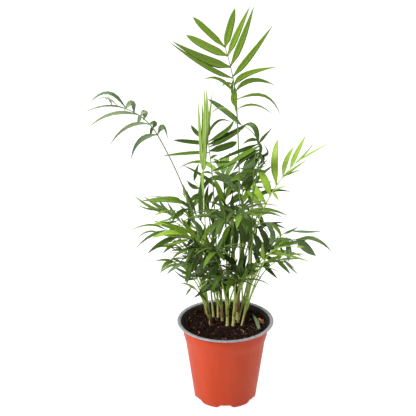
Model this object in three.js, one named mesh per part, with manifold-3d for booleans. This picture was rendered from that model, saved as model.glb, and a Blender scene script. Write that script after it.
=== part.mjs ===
// Parlour palm (Chamaedorea elegans) in its nursery pot.
// Millimetres, +Z up. The origin is the middle of the pot's flat underside.
//
// The plant is a clump of thin canes. Each cane ends in the stalk of its youngest
// frond, and its older fronds leave its side. A frond is a rib with leaflets in
// two rows: it rises, bows over along its stalk and droops along its blade. A leaflet
// that would touch something else is left out.

import * as THREE from 'three';
import { mergeVertices } from 'three/addons/utils/BufferGeometryUtils.js';
import Module from 'manifold-3d';

const wasm = await Module();
wasm.setup();

// ---------------------------------------------------------------- sizes

const GAP = 0.3; // between two pieces that touch on the real plant

const POT = {
  height: 107,
  rimRadius: 61.2,
  lipWidth: 4.6,
  lipDepth: 2.8,
  wall: 1.4,
  floor: 6,
  collarTop: 54, // outer radius just under the lip
  collarFoot: 53.4,
  collarStep: 3.1, // the wall stands back this far under the collar
  collarSlope: 11, // the height over which it does so
  collarHeight: 27.5,
  cornerRadius: 39.5,
  footRadius: 36.7,
  cornerHeight: 3.6,
  sides: 48,
};

const NOTCH = { count: 6, foot: 26, top: 12, height: 5, inner: 24, outer: 44 };

// Flat in the middle, and banked up against the wall from the shoulder out.
const SOIL = { top: 98, shoulder: 44, edge: 102.6, edgeRadius: 53.1 };

const CANE = { sides: 8, flare: 1.25, tip: 0.82 };

const RIB = {
  tipRadius: 0.45,
  bladeRadius: 0.85,
  sideRadius: 1.15, // foot of a stalk that leaves a cane's side
  halfWidth: 0.8, // of the rib between the leaflets
  sides: 3,
  step: 22, // between the rings of a stalk
  lap: 5, // how far the blade runs down over its stalk
  point: 3, // how far the rib runs past its last leaflets
  bare: 14, // the end of the stalk that its own leaflets may pass
  clearance: 0.7, // between two ribs, measured between points a millimetre apart
  margin: 0.6, // kept free around a rib, for its flat blade
};

const LEAFLET = {
  thickness: 1.0,
  outline: { // places along the leaflet and its width there, as a share of the full width
    2: [[0, 0.28], [0.42, 1], [1, 0]],
    3: [[0, 0.28], [0.3, 1], [0.68, 0.74], [1, 0]],
  },
  raise: 0.16, // the two rows stand up a little, as a shallow V
  endGap: 0.6, // the last pair is nearer its neighbour than a full step
  stagger: 0.4, // how far the right row is set on from the left one, in pairs
  endWidth: 1.3, // the last pair is broader
};

const TURNS = [0, 3, -3, 6, -6, 9, -9, 13, -13, 17, -17, 22, -22, 27, -27];

// ---------------------------------------------------------------- the clump

// What a frond has where its habit and its own row say nothing else: no sway or roll, the
// height its leaflets stand up from its face, the distance of their roots from the rib's
// middle, and the size of the right row's first leaflets as a share of the left row's.
const PLAIN = { sway: 0, roll: 0, raise: LEAFLET.raise, root: RIB.halfWidth, stunted: 1 };

// A frond's habit: pairs of leaflets, the length and width of the longest leaflet, the
// angles that the first and last pair make with the rib, how much the leaflets hang, and
// how many parts a leaflet is drawn in.
const HABIT = {
  full: { pairs: 5, leaflet: 68, width: 7.5, open: [58, 14], hang: 1, raise: 0.3, parts: 3 },
  crown: {
    pairs: 7, leaflet: 92, width: 9, open: [78, 28], hang: 0.2, raise: 0.05, parts: 3, stunted: 0.5,
  },
  young: { pairs: 6, leaflet: 70, width: 7.5, open: [66, 12], hang: 0.2, raise: 0.9, parts: 3 },
  lax: { pairs: 6, leaflet: 64, width: 6, open: [66, 40], hang: 1.7, parts: 3 },
  fan: { pairs: 5, leaflet: 60, width: 7, open: [84, 26], hang: 0.5, raise: 0.2, parts: 3 },
  small: { pairs: 5, leaflet: 52, width: 6, open: [58, 18], hang: 1.1, raise: 0.3, parts: 2 },
  spear: { pairs: 3, leaflet: 92, width: 4.6, open: [5, 4], hang: 0, raise: 0, root: 0, parts: 3 },
};

// foot: where the cane leaves the soil. lean and heading, in degrees: how far it leans
// from upright, and to which side (0 is +X, 90 is +Y). The first frond of each cane
// stands on its tip, and the others leave its side at the height "at" along it.
// lean, arc and droop of a frond: its lean at the foot, what its stalk adds to that,
// and what its blade adds. sway turns its heading from foot to tip, and roll turns
// the blade about its rib.
const CLUMP = [
  { name: 'a', foot: [-19, 6], heading: 175, lean: 7, height: 58, radius: 1.5, fronds: [
    { habit: 'lax', tone: 'grey', heading: 178, lean: 3,
      stalk: 205, arc: 28, blade: 90, droop: 82, sway: -20 },
    { habit: 'full', tone: 'dark', at: 44, heading: 176, lean: 11,
      stalk: 58, arc: 13, blade: 52, droop: 52, leaflet: 44 },
    { habit: 'small', tone: 'mid', at: 30, heading: 205, lean: 12,
      stalk: 38, arc: 12, blade: 42, droop: 34, leaflet: 30 },
    { habit: 'small', tone: 'mid', at: 14, heading: 222, lean: 14,
      stalk: 34, arc: 15, blade: 32, droop: 50, leaflet: 22 },
  ] },
  { name: 'b', foot: [-15, 27], heading: 180, lean: 5, height: 74, radius: 1.35, fronds: [
    { habit: 'spear', tone: 'bright', heading: 180, lean: 5,
      stalk: 128, arc: -4, blade: 40, droop: 0, roll: 90 },
    { habit: 'full', tone: 'dark', at: 52, heading: 165, lean: 10,
      stalk: 66, arc: 22, blade: 62, droop: 58 },
  ] },
  { name: 'c', foot: [-9, 25], heading: 180, lean: 2, height: 70, radius: 1.5, fronds: [
    { habit: 'fan', tone: 'dark', heading: 102, lean: 1,
      stalk: 112, arc: 22, blade: 60, droop: 26 },
    { habit: 'full', tone: 'mid', at: 58, heading: 190, lean: 6,
      stalk: 80, arc: 26, blade: 42, droop: 56, leaflet: 60 },
    { habit: 'full', tone: 'mid', at: 40, heading: 150, lean: 12,
      stalk: 62, arc: 24, blade: 56, droop: 56, leaflet: 54 },
    { habit: 'full', tone: 'dark', at: 66, heading: 120, lean: 5,
      stalk: 70, arc: 18, blade: 56, droop: 50 },
    { habit: 'small', tone: 'dark', at: 26, heading: -168, lean: 9,
      stalk: 50, arc: 22, blade: 46, droop: 44 },
  ] },
  { name: 'd', foot: [-4, 15], heading: 180, lean: 2, height: 62, radius: 1.5, fronds: [
    { habit: 'full', tone: 'mid', heading: -165, lean: 5,
      stalk: 84, arc: 26, blade: 80, droop: 56, leaflet: 52 },
    { habit: 'full', tone: 'bright', at: 52, heading: 196, lean: 11,
      stalk: 56, arc: 26, blade: 66, droop: 32 },
    { habit: 'small', tone: 'dark', at: 34, heading: -125, lean: 12,
      stalk: 50, arc: 24, blade: 50, droop: 50 },
    { habit: 'small', tone: 'mid', at: 44, heading: -95, lean: 10,
      stalk: 64, arc: 24, blade: 50, droop: 56 },
    { habit: 'small', tone: 'dark', at: 22, heading: -150, lean: 11,
      stalk: 42, arc: 20, blade: 44, droop: 44 },
  ] },
  { name: 'e', foot: [2.5, 0], heading: 60, lean: 2, height: 60, radius: 1.8, fronds: [
    { habit: 'full', tone: 'mid', heading: -80, lean: 5,
      stalk: 92, arc: 22, blade: 70, droop: 60 },
    { habit: 'small', tone: 'dark', at: 44, heading: -95, lean: 14,
      stalk: 40, arc: 30, blade: 52, droop: 40 },
    { habit: 'small', tone: 'mid', at: 30, heading: -60, lean: 16,
      stalk: 50, arc: 24, blade: 48, droop: 50 },
    { habit: 'small', tone: 'dark', at: 52, heading: -130, lean: 12,
      stalk: 60, arc: 26, blade: 52, droop: 50 },
    { habit: 'small', tone: 'dark', at: 22, heading: -112, lean: 10,
      stalk: 46, arc: 20, blade: 44, droop: 44 },
  ] },
  { name: 'f', foot: [10, 0], heading: 20, lean: 3, height: 72, radius: 1.9, fronds: [
    { habit: 'fan', tone: 'dark', heading: 186, lean: -13,
      stalk: 160, arc: 6, blade: 58, droop: 84 },
    { habit: 'small', tone: 'dark', at: 46, heading: -15, lean: 9,
      stalk: 42, arc: 38, blade: 46, droop: 46 },
    { habit: 'full', tone: 'mid', at: 60, heading: -100, lean: 7,
      stalk: 96, arc: 24, blade: 66, droop: 56 },
    { habit: 'small', tone: 'mid', at: 34, heading: -75, lean: 14,
      stalk: 46, arc: 26, blade: 46, droop: 50 },
    { habit: 'small', tone: 'mid', at: 22, heading: -88, lean: 10,
      stalk: 44, arc: 22, blade: 44, droop: 46 },
  ] },
  { name: 'g', foot: [15, 18], heading: 20, lean: 3, height: 72, radius: 1.75, fronds: [
    { habit: 'crown', tone: 'mid', heading: 122, lean: 0,
      stalk: 208, arc: 5, blade: 80, droop: 26, sway: 6 },
    { habit: 'full', tone: 'mid', at: 60, heading: 85, lean: 6,
      stalk: 78, arc: 22, blade: 54, droop: 46 },
    { habit: 'full', tone: 'dark', at: 44, heading: -10, lean: 16,
      stalk: 52, arc: 24, blade: 54, droop: 50, leaflet: 54 },
    { habit: 'small', tone: 'dark', at: 54, heading: -60, lean: 10,
      stalk: 84, arc: 20, blade: 54, droop: 56 },
  ] },
  { name: 'h', foot: [16, 9], heading: 2, lean: 12, height: 56, radius: 1.35, fronds: [
    { habit: 'young', tone: 'bright', heading: 5, lean: 0,
      stalk: 104, arc: 22, blade: 84, droop: 26, roll: 24 },
    { habit: 'full', tone: 'dark', at: 38, heading: -12, lean: 18,
      stalk: 62, arc: 12, blade: 66, droop: 64 },
    { habit: 'small', tone: 'dark', at: 28, heading: -95, lean: 12,
      stalk: 50, arc: 20, blade: 44, droop: 50 },
  ] },
  { name: 'i', foot: [21, 2], heading: -6, lean: 11, height: 60, radius: 1.3, fronds: [
    { habit: 'full', tone: 'dark', heading: -80, lean: 0,
      stalk: 143, arc: 5, blade: 50, droop: 34, leaflet: 44 },
    { habit: 'full', tone: 'bright', at: 36, heading: -35, lean: 16,
      stalk: 64, arc: 8, blade: 60, droop: 66 },
    { habit: 'small', tone: 'mid', at: 24, heading: 35, lean: 16,
      stalk: 42, arc: 24, blade: 42, droop: 50 },
  ] },
  { name: 'j', foot: [2, 34], heading: 90, lean: 6, height: 62, radius: 1.35, fronds: [
    { habit: 'full', tone: 'mid', heading: 95, lean: 6,
      stalk: 80, arc: 24, blade: 60, droop: 50 },
    { habit: 'full', tone: 'dark', at: 46, heading: 60, lean: 12,
      stalk: 60, arc: 30, blade: 66, droop: 50 },
    { habit: 'small', tone: 'mid', at: 30, heading: 125, lean: 14,
      stalk: 50, arc: 30, blade: 56, droop: 50 },
  ] },
  { name: 'k', foot: [24, 26], heading: 42, lean: 9, height: 60, radius: 1.35, fronds: [
    { habit: 'full', tone: 'mid', heading: 70, lean: 8,
      stalk: 66, arc: 24, blade: 56, droop: 50 },
    { habit: 'full', tone: 'dark', at: 42, heading: 36, lean: 14,
      stalk: 48, arc: 30, blade: 54, droop: 56, leaflet: 50 },
    { habit: 'small', tone: 'mid', at: 26, heading: 50, lean: 16,
      stalk: 44, arc: 30, blade: 50, droop: 50 },
  ] },
  { name: 'l', foot: [-24, 33], heading: 130, lean: 9, height: 58, radius: 1.35, fronds: [
    { habit: 'full', tone: 'mid', heading: 112, lean: 7,
      stalk: 56, arc: 24, blade: 62, droop: 60 },
    { habit: 'full', tone: 'dark', at: 40, heading: 155, lean: 14,
      stalk: 44, arc: 24, blade: 54, droop: 56, leaflet: 38 },
    { habit: 'small', tone: 'mid', at: 24, heading: 180, lean: 16,
      stalk: 40, arc: 24, blade: 40, droop: 50, leaflet: 30 },
  ] },
];

const TONES = { dark: 0x3f6228, mid: 0x557f35, bright: 0x86ac4a, grey: 0x5d7a4d };

// ---------------------------------------------------------------- solids

const rad = THREE.MathUtils.degToRad;
const lerp = THREE.MathUtils.lerp;

// A closed geometry as a solid that can be joined and cut.
function solidOf(geometry) {
  const bare = geometry.clone();
  bare.deleteAttribute('normal');
  bare.deleteAttribute('uv');
  const merged = mergeVertices(bare, 1e-4);
  const mesh = new wasm.Mesh({
    numProp: 3,
    vertProperties: new Float32Array(merged.attributes.position.array),
    triVerts: new Uint32Array(merged.index.array),
  });
  return new wasm.Manifold(mesh);
}

function meshOf(name, solid, material) {
  const { vertProperties, triVerts } = solid.getMesh();
  const geometry = new THREE.BufferGeometry();
  geometry.setAttribute('position', new THREE.BufferAttribute(vertProperties, 3));
  geometry.setIndex(new THREE.BufferAttribute(triVerts, 1));
  geometry.computeVertexNormals();
  const mesh = new THREE.Mesh(geometry, material);
  mesh.name = name;
  return mesh;
}

// The largest body of a solid: a scrap that a cut leaves loose is dropped.
function wholeOf(solid) {
  const bodies = solid.decompose();
  return bodies.reduce((big, body) => (body.volume() > big.volume() ? body : big));
}

// A rod with its ends capped, carried along a path: place(u, x, y) gives the point at
// the share u of its length for the point (x, y) of its unit section.
function rod(sides, parts, place) {
  const geometry = new THREE.CylinderGeometry(1, 1, 1, sides, parts);
  const { position } = geometry.attributes;
  const corner = new THREE.Vector3();
  for (let i = 0; i < position.count; i += 1) {
    corner.fromBufferAttribute(position, i);
    const at = place(corner.y + 0.5, -corner.x, corner.z);
    position.setXYZ(i, at.x, at.y, at.z);
  }
  return solidOf(geometry);
}

// ---------------------------------------------------------------- pot and soil

function lathe(outline) {
  const points = outline.map(([r, z]) => new THREE.Vector2(r, z));
  return solidOf(new THREE.LatheGeometry(points, POT.sides).rotateX(Math.PI / 2));
}

// Radius of the wall's outer face at a height below the collar.
function wallRadius(z) {
  const rise = POT.height - POT.collarHeight - POT.cornerHeight;
  return lerp(POT.cornerRadius, POT.collarFoot - POT.collarStep, (z - POT.cornerHeight) / rise);
}

function potSolid() {
  const { height, rimRadius, lipWidth, lipDepth, wall, floor } = POT;
  const step = height - POT.collarHeight;
  const lipFoot = height - lipDepth;
  const outline = [
    [0, 0],
    [POT.footRadius, 0],
    [lerp(POT.footRadius, POT.cornerRadius, 0.75), POT.cornerHeight * 0.25],
    [POT.cornerRadius, POT.cornerHeight],
    [wallRadius(step), step],
    [POT.collarFoot, step + POT.collarSlope],
    [POT.collarTop, lipFoot - 1.6],
    [POT.collarTop + 1.4, lipFoot],
    [rimRadius - 0.5, lipFoot],
    [rimRadius, lipFoot + 0.7],
    [rimRadius, height - 0.8],
    [rimRadius - 0.8, height],
    [rimRadius - lipWidth + 0.6, height],
    [rimRadius - lipWidth, height - 0.8],
    [POT.collarTop - wall, lipFoot - 3.2],
    [POT.collarFoot - wall, step + POT.collarSlope + 0.6],
    [wallRadius(step) - wall, step + 0.4],
    [wallRadius(floor) - wall, floor],
    [0, floor],
  ];
  let pot = lathe(outline);
  const shape = new THREE.Shape([
    new THREE.Vector2(-NOTCH.foot / 2, -1),
    new THREE.Vector2(NOTCH.foot / 2, -1),
    new THREE.Vector2(NOTCH.top / 2, NOTCH.height),
    new THREE.Vector2(-NOTCH.top / 2, NOTCH.height),
  ]);
  for (let k = 0; k < NOTCH.count; k += 1) {
    const depth = NOTCH.outer - NOTCH.inner;
    const cut = new THREE.ExtrudeGeometry(shape, { depth, bevelEnabled: false });
    cut.translate(0, 0, NOTCH.inner).rotateX(Math.PI / 2);
    cut.rotateZ((k * 2 * Math.PI) / NOTCH.count);
    pot = pot.subtract(solidOf(cut));
  }
  return pot;
}

function soilSolid() {
  const step = POT.height - POT.collarHeight;
  const side = POT.wall + GAP;
  return lathe([
    [0, POT.floor + GAP],
    [wallRadius(POT.floor) - side - 0.1, POT.floor + GAP],
    [wallRadius(step) - side - 0.1, step + 0.4],
    [POT.collarFoot - side - 0.1, step + POT.collarSlope + 1],
    [POT.collarTop - side - 0.1, POT.height - POT.lipDepth - 3.5],
    [SOIL.edgeRadius, SOIL.edge],
    [SOIL.shoulder, SOIL.top],
    [0, SOIL.top],
  ]);
}

// ---------------------------------------------------------------- canes

function direction(lean, heading) {
  const [theta, phi] = [rad(lean), rad(heading)];
  return new THREE.Vector3(
    Math.sin(theta) * Math.cos(phi),
    Math.sin(theta) * Math.sin(phi),
    Math.cos(theta),
  );
}

function canePoint(cane, along) {
  const [x, y] = cane.foot;
  return new THREE.Vector3(x, y, SOIL.top + GAP)
    .addScaledVector(direction(cane.lean, cane.heading), along);
}

function caneRadius(cane, along) {
  const u = along / cane.height;
  const flare = (CANE.flare - 1) * Math.exp(-along / 3);
  return cane.radius * (lerp(1, CANE.tip, u) + flare);
}

function caneSolid(cane) {
  const stations = [0, 0.04, 0.12, 0.5, 1];
  const along = direction(cane.lean, cane.heading);
  const side = new THREE.Vector3(-Math.sin(rad(cane.heading)), Math.cos(rad(cane.heading)), 0);
  const upper = new THREE.Vector3().crossVectors(along, side);
  const flat = new THREE.Vector3(upper.x, upper.y, 0).normalize();
  return rod(CANE.sides, stations.length - 1, (u, x, y) => {
    const k = Math.round(u * (stations.length - 1));
    const s = stations[k] * cane.height;
    const r = caneRadius(cane, s);
    return canePoint(cane, s)
      .addScaledVector(side, r * x)
      .addScaledVector(k === 0 ? flat : upper, r * y);
  });
}

// ---------------------------------------------------------------- fronds

// The rib as points a millimetre apart, from the foot of the stalk to the tip.
function ribPath(frond, turn) {
  const { cane, stalk, blade } = frond;
  const heading = frond.heading + turn;
  const total = stalk + blade;
  const onTip = frond.at === undefined;
  const out = direction(90, heading);
  const foot = canePoint(cane, onTip ? cane.height + GAP : frond.at);
  if (!onTip) foot.addScaledVector(out, caneRadius(cane, frond.at) + GAP + RIB.sideRadius);
  const path = [];
  const point = foot.clone();
  for (let s = 0; s <= total; s += 1) {
    const lean = s < stalk
      ? frond.lean + (frond.arc * s) / stalk
      : frond.lean + frond.arc + (frond.droop * (s - stalk)) / blade;
    const phi = heading + (frond.sway * s) / total;
    path.push({ point: point.clone(), lean, phi });
    point.add(direction(lean, phi));
  }
  return path;
}

function ribRadius(frond, s) {
  const foot = frond.at === undefined ? frond.cane.radius * CANE.tip : RIB.sideRadius;
  return s < frond.stalk
    ? lerp(foot, RIB.bladeRadius, Math.min(1, s / Math.min(frond.stalk, 60)))
    : lerp(RIB.bladeRadius, RIB.tipRadius, (s - frond.stalk) / frond.blade);
}

// The rib's own directions at one of its points: along it, to its side and up from its face.
function ribFrame(frond, s) {
  const { point, lean, phi } = frond.path[Math.min(Math.round(s), frond.path.length - 1)];
  const along = direction(lean, phi);
  const blade = THREE.MathUtils.clamp((s - frond.stalk * 0.6) / (frond.stalk * 0.4), 0, 1);
  const side = direction(90, phi + 90).applyAxisAngle(along, rad(frond.roll * blade));
  const face = new THREE.Vector3().crossVectors(side, along).negate();
  return { point, along, side, face };
}

// Two ribs are clear of each other when no two of their points are too close.
function tooClose(path, other, reach) {
  return path.some(({ point: p }) => other.some(({ point: q }) => (
    Math.abs(p.x - q.x) < reach && Math.abs(p.y - q.y) < reach && p.distanceTo(q) < reach)));
}

// Turns each frond aside by the least that takes its rib clear of canes and earlier ribs.
function settle(fronds) {
  const limbs = CLUMP.map((cane) => ({ cane, path: canePath(cane), radius: cane.radius }));
  for (const frond of fronds) {
    const clear = (turn) => {
      const path = ribPath(frond, turn);
      return limbs.every((limb) => {
        const skip = limb.cane === frond.cane ? 14 : 0;
        return !tooClose(path.slice(skip), limb.path, RIB.sideRadius + limb.radius + RIB.clearance);
      });
    };
    const turn = TURNS.find(clear);
    if (turn === undefined) throw new Error(`no room for the rib of ${frond.name}`);
    frond.path = ribPath(frond, turn);
    limbs.push({ path: frond.path, radius: RIB.bladeRadius });
  }
}

function canePath(cane) {
  const path = [];
  for (let s = 0; s <= cane.height; s += 1) path.push({ point: canePoint(cane, s) });
  return path;
}

// A frond's stalk up to a length along it, or its whole rib where that is longer. The
// space kept free around a rib is the same rod with more sides and a margin.
function stalkSolid(frond, length, sides = RIB.sides, margin = 0) {
  const parts = Math.max(2, Math.round(length / RIB.step));
  return rod(sides, parts, (u, x, y) => {
    const s = u * length;
    const { point, side, face } = ribFrame(frond, s);
    const r = ribRadius(frond, s) + margin;
    return point.clone().addScaledVector(side, r * x).addScaledVector(face, r * y);
  });
}

// A repeatable number from -1 to 1 for each leaflet, so that no two are quite alike.
function wobble(frond, row, t, k) {
  return Math.sin(frond.heading * 1.7 + frond.stalk * 3.1 + row * 7.3 + t * 41 + k * 11.9);
}

// The outline of one leaflet, anticlockwise from above: out from its root to its tip and
// back. Each point has its distance along the blade (s), its place in space (at) and the
// direction of its thickness (up).
function leafletOutline(frond, row, t) {
  const { leaflet, width, open, hang, raise, pairs, parts, stalk, blade } = frond;
  const stations = LEAFLET.outline[parts].map(([u]) => u);
  const widths = LEAFLET.outline[parts].map(([, w]) => w);
  const { point, along, side, face } = ribFrame(frond, stalk + blade * t);
  const angle = rad(lerp(open[0], open[1], t) + 9 * wobble(frond, row, t, 0));
  const last = t > 1 - 0.5 / pairs;
  const grown = 0.62 + 0.38 * Math.sin(Math.PI * Math.min(t + 0.2, 1));
  const stunted = row > 0 && t < 0.45 ? frond.stunted : 1;
  const length = leaflet * (grown + 0.06 * wobble(frond, row, t, 1)) * stunted;
  const breadth = width * (last ? LEAFLET.endWidth : lerp(0.85, 1, t));
  const fall = hang * (1 + 0.4 * wobble(frond, row, t, 2));
  const out = along.clone().multiplyScalar(Math.cos(angle))
    .addScaledVector(side, row * Math.sin(angle))
    .addScaledVector(face, raise)
    .normalize();
  const root = point.clone().addScaledVector(side, row * frond.root);
  const rootHalf = (breadth * widths[0]) / 2 / Math.sin(angle);
  const rootEdge = (way) => ({
    s: blade * t + way * rootHalf,
    at: root.clone().addScaledVector(along, way * rootHalf),
    up: face,
  });
  const back = [rootEdge(-1)];
  const front = [rootEdge(1)];
  const at = root.clone();
  const heading = (u) => out.clone().add(new THREE.Vector3(0, 0, -fall * u)).normalize();
  for (let k = 1; k < stations.length; k += 1) {
    const run = (stations[k] - stations[k - 1]) * length;
    at.addScaledVector(heading((stations[k] + stations[k - 1]) / 2), run);
    const here = heading(stations[k]);
    const across = new THREE.Vector3().crossVectors(face, here).normalize();
    const up = new THREE.Vector3().crossVectors(here, across);
    const half = (breadth * widths[k]) / 2;
    const edge = (way) => ({ at: at.clone().addScaledVector(across, -row * way * half), up });
    if (half > 0) front.push(edge(1));
    back.push(edge(-1));
  }
  const loop = [...back, ...front.reverse()];
  return row < 0 ? loop : loop.reverse();
}

// The faces of a leaflet whose outline has these points, between its two edges.
function leafletFaces(first, count) {
  const faces = [];
  for (let [a, d] = [first, first + count - 1]; a < d; a += 1, d -= 1) {
    if (a + 1 < d - 1) faces.push([a, a + 1, d - 1]);
    faces.push([a, d - 1, d]);
  }
  return faces;
}

// The faces of the rib, between the leaflets' roots on its right edge and on its left one.
function ribFaces(outline, right, left) {
  const faces = [];
  let [i, j] = [0, 0];
  while (i < right.length - 1 || j < left.length - 1) {
    const goRight = j === left.length - 1
      || (i < right.length - 1 && outline[right[i + 1]].s < outline[left[j + 1]].s);
    if (goRight) i += 1;
    else j += 1;
    faces.push(goRight ? [right[i - 1], right[i], left[j]] : [right[i], left[j], left[j - 1]]);
  }
  return faces;
}

// A thin blade of even thickness over an anticlockwise outline and its faces.
function bladeSolid(outline, faces) {
  const half = LEAFLET.thickness / 2;
  const corners = [half, -half].flatMap((h) => (
    outline.map(({ at, up }) => at.clone().addScaledVector(up, h).toArray())));
  const n = outline.length;
  const index = faces.flatMap(([a, b, c]) => [a, b, c, c + n, b + n, a + n]);
  for (let i = 0; i < n; i += 1) {
    const j = (i + 1) % n;
    index.push(i, i + n, j + n, i, j + n, j);
  }
  const geometry = new THREE.BufferGeometry();
  geometry.setAttribute('position', new THREE.Float32BufferAttribute(corners.flat(), 3));
  geometry.setIndex(index);
  return solidOf(geometry);
}

function leafletSolid(frond, row, t) {
  const outline = leafletOutline(frond, row, t);
  return bladeSolid(outline, leafletFaces(0, outline.length));
}

// ---------------------------------------------------------------- the plant

const fronds = CLUMP.flatMap((cane) => cane.fronds.map((frond, k) => ({
  ...PLAIN,
  ...HABIT[frond.habit],
  ...frond,
  cane,
  name: `frond_${cane.name}${k + 1}`,
})));
settle(fronds);

const pot = potSolid();
const soil = soilSolid();
const canes = CLUMP.map(caneSolid);
const stalks = fronds.map((frond) => stalkSolid(frond, frond.stalk - RIB.bare));
const ribs = fronds.map((frond) => (
  stalkSolid(frond, frond.stalk + frond.blade, 2 * RIB.sides, RIB.margin)));
const placed = [];

// Is a leaflet clear of the pot, the canes, every rib and the leaflets before it?
function isClear(leaflet, frond) {
  const box = leaflet.boundingBox();
  const near = (other) => {
    const { min, max } = other.boundingBox();
    return [0, 1, 2].every((i) => box.min[i] < max[i] + GAP && box.max[i] > min[i] - GAP);
  };
  const touches = (other) => near(other) && leaflet.minGap(other, GAP * 1.1) < GAP;
  return ![pot, soil, ...canes, ...placed].some(touches)
    && !fronds.some((other, k) => touches(other === frond ? stalks[k] : ribs[k]));
}

// The places of a row's leaflets, from the stalk to the tip, and whether each has room.
function rowOf(frond, row) {
  const { pairs } = frond;
  const spots = Array.from({ length: pairs }, (_, i) => (
    i === pairs - 1 ? 1 : (i + (row > 0 ? LEAFLET.stagger : 0)) / (pairs - LEAFLET.endGap)));
  return spots.map((t) => {
    const leaflet = leafletSolid(frond, row, t);
    const clear = isClear(leaflet, frond);
    if (clear) placed.push(leaflet);
    return { row, t, clear };
  });
}

// An open frond: its outline is cut to the rib between its leaflets.
function openFrond(frond) {
  const { stalk, blade } = frond;
  const edge = (s, y) => {
    const { point, side, face } = ribFrame(frond, stalk + s);
    return { s, at: point.clone().addScaledVector(side, y), up: face };
  };
  const outline = [edge(-RIB.lap, -RIB.halfWidth)];
  const faces = [];
  const grow = ({ row, t, clear }) => {
    const first = outline.length;
    if (!clear) {
      outline.push(edge(blade * t, row * RIB.halfWidth));
      return [first];
    }
    const points = leafletOutline(frond, row, t);
    faces.push(...leafletFaces(first, points.length));
    outline.push(...points);
    return [first, outline.length - 1];
  };
  const right = [0, ...rowOf(frond, -1).flatMap(grow), outline.length];
  outline.push(edge(blade + RIB.point, 0));
  const left = rowOf(frond, 1).reverse().flatMap(grow);
  left.push(outline.length);
  outline.push(edge(-RIB.lap, RIB.halfWidth));
  faces.push(...ribFaces(outline, right, left.reverse()));
  return bladeSolid(outline, faces).add(stalkSolid(frond, stalk));
}

// An unopened spear: its leaflets lie folded along the rib.
function spearFrond(frond) {
  const { pairs } = frond;
  const leaflets = [-1, 1].flatMap((row) => {
    const spots = Array.from({ length: pairs }, (_, i) => (i + (row > 0 ? 0.5 : 0)) / pairs);
    return spots.map((t) => leafletSolid(frond, row, t)).filter((leaflet) => isClear(leaflet, frond));
  });
  placed.push(...leaflets);
  return wasm.Manifold.union([stalkSolid(frond, frond.stalk + frond.blade), ...leaflets]);
}

const terracotta = new THREE.MeshStandardMaterial({ color: 0xc9502f, roughness: 0.55, metalness: 0 });
const compost = new THREE.MeshStandardMaterial({ color: 0x2e1f19, roughness: 1, metalness: 0 });
const stem = new THREE.MeshStandardMaterial({ color: 0x7d9a4b, roughness: 0.6, metalness: 0 });
const leaf = Object.fromEntries(Object.entries(TONES).map(([tone, color]) => (
  [tone, new THREE.MeshStandardMaterial({ color, roughness: 0.5, metalness: 0 })])));

const palm = new THREE.Group();
palm.add(meshOf('pot', pot, terracotta));
palm.add(meshOf('soil', soil, compost));
CLUMP.forEach((cane, k) => palm.add(meshOf(`cane_${cane.name}`, canes[k], stem)));
fronds.forEach((frond) => {
  const solid = frond.habit === 'spear' ? spearFrond(frond) : openFrond(frond);
  palm.add(meshOf(frond.name, wholeOf(solid), leaf[frond.tone]));
});

export default palm;
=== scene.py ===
"""Potted parlour palm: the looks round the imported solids.

The pot, the compost and the canes are shaped by operators. The stalks, ribs and leaflets
grow by the rule of the solids, finer and within the same reach, as joined meshes. The
leaflets that have marks in the view run through those.
Lengths in the tables and in the plant's functions are millimetres, angles are degrees.
"""

import math
import random

import bpy
import numpy as np
from bpy.props import FloatProperty, FloatVectorProperty, IntProperty, PointerProperty
from mathutils import Matrix, Vector
from mathutils.bvhtree import BVHTree


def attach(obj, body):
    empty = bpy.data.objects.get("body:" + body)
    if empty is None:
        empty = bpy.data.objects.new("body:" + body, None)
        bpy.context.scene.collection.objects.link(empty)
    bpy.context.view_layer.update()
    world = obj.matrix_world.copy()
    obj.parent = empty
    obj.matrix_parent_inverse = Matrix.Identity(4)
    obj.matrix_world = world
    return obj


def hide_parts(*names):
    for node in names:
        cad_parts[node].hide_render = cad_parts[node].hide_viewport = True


bl_info = {
    "name": "Potted parlour palm",
    "version": (1, 0, 0),
    "blender": (4, 5, 0),
    "location": "View3D > Sidebar > Palm",
    "description": "Builds a potted parlour palm round its packed solids",
    "category": "Object",
}

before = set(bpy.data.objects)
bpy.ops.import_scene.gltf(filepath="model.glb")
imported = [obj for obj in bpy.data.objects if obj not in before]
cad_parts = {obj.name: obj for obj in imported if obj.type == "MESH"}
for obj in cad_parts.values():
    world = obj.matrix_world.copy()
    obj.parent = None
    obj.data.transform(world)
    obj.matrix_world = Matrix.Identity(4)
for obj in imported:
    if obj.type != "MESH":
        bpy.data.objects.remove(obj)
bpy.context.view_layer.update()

MM = 0.001
FLAT = 1e-9  # the least length that a vector is divided by

# ---------------------------------------------------------------- the clump


def spray(habit, tone, heading, lean, stalk, arc, blade, droop, at=None, sway=0, roll=0):
    """A frond: its habit and tone, its heading and its lean at the foot, the length of its stalk
    and what that adds to the lean, the length of its blade and what that adds, and its height
    on its cane's side. sway turns its heading from foot to tip, and roll turns its blade."""
    return dict(
        habit=habit, tone=tone, heading=heading, lean=lean, stalk=stalk, arc=arc, blade=blade,
        droop=droop, at=at, sway=sway, roll=roll
    )


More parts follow.
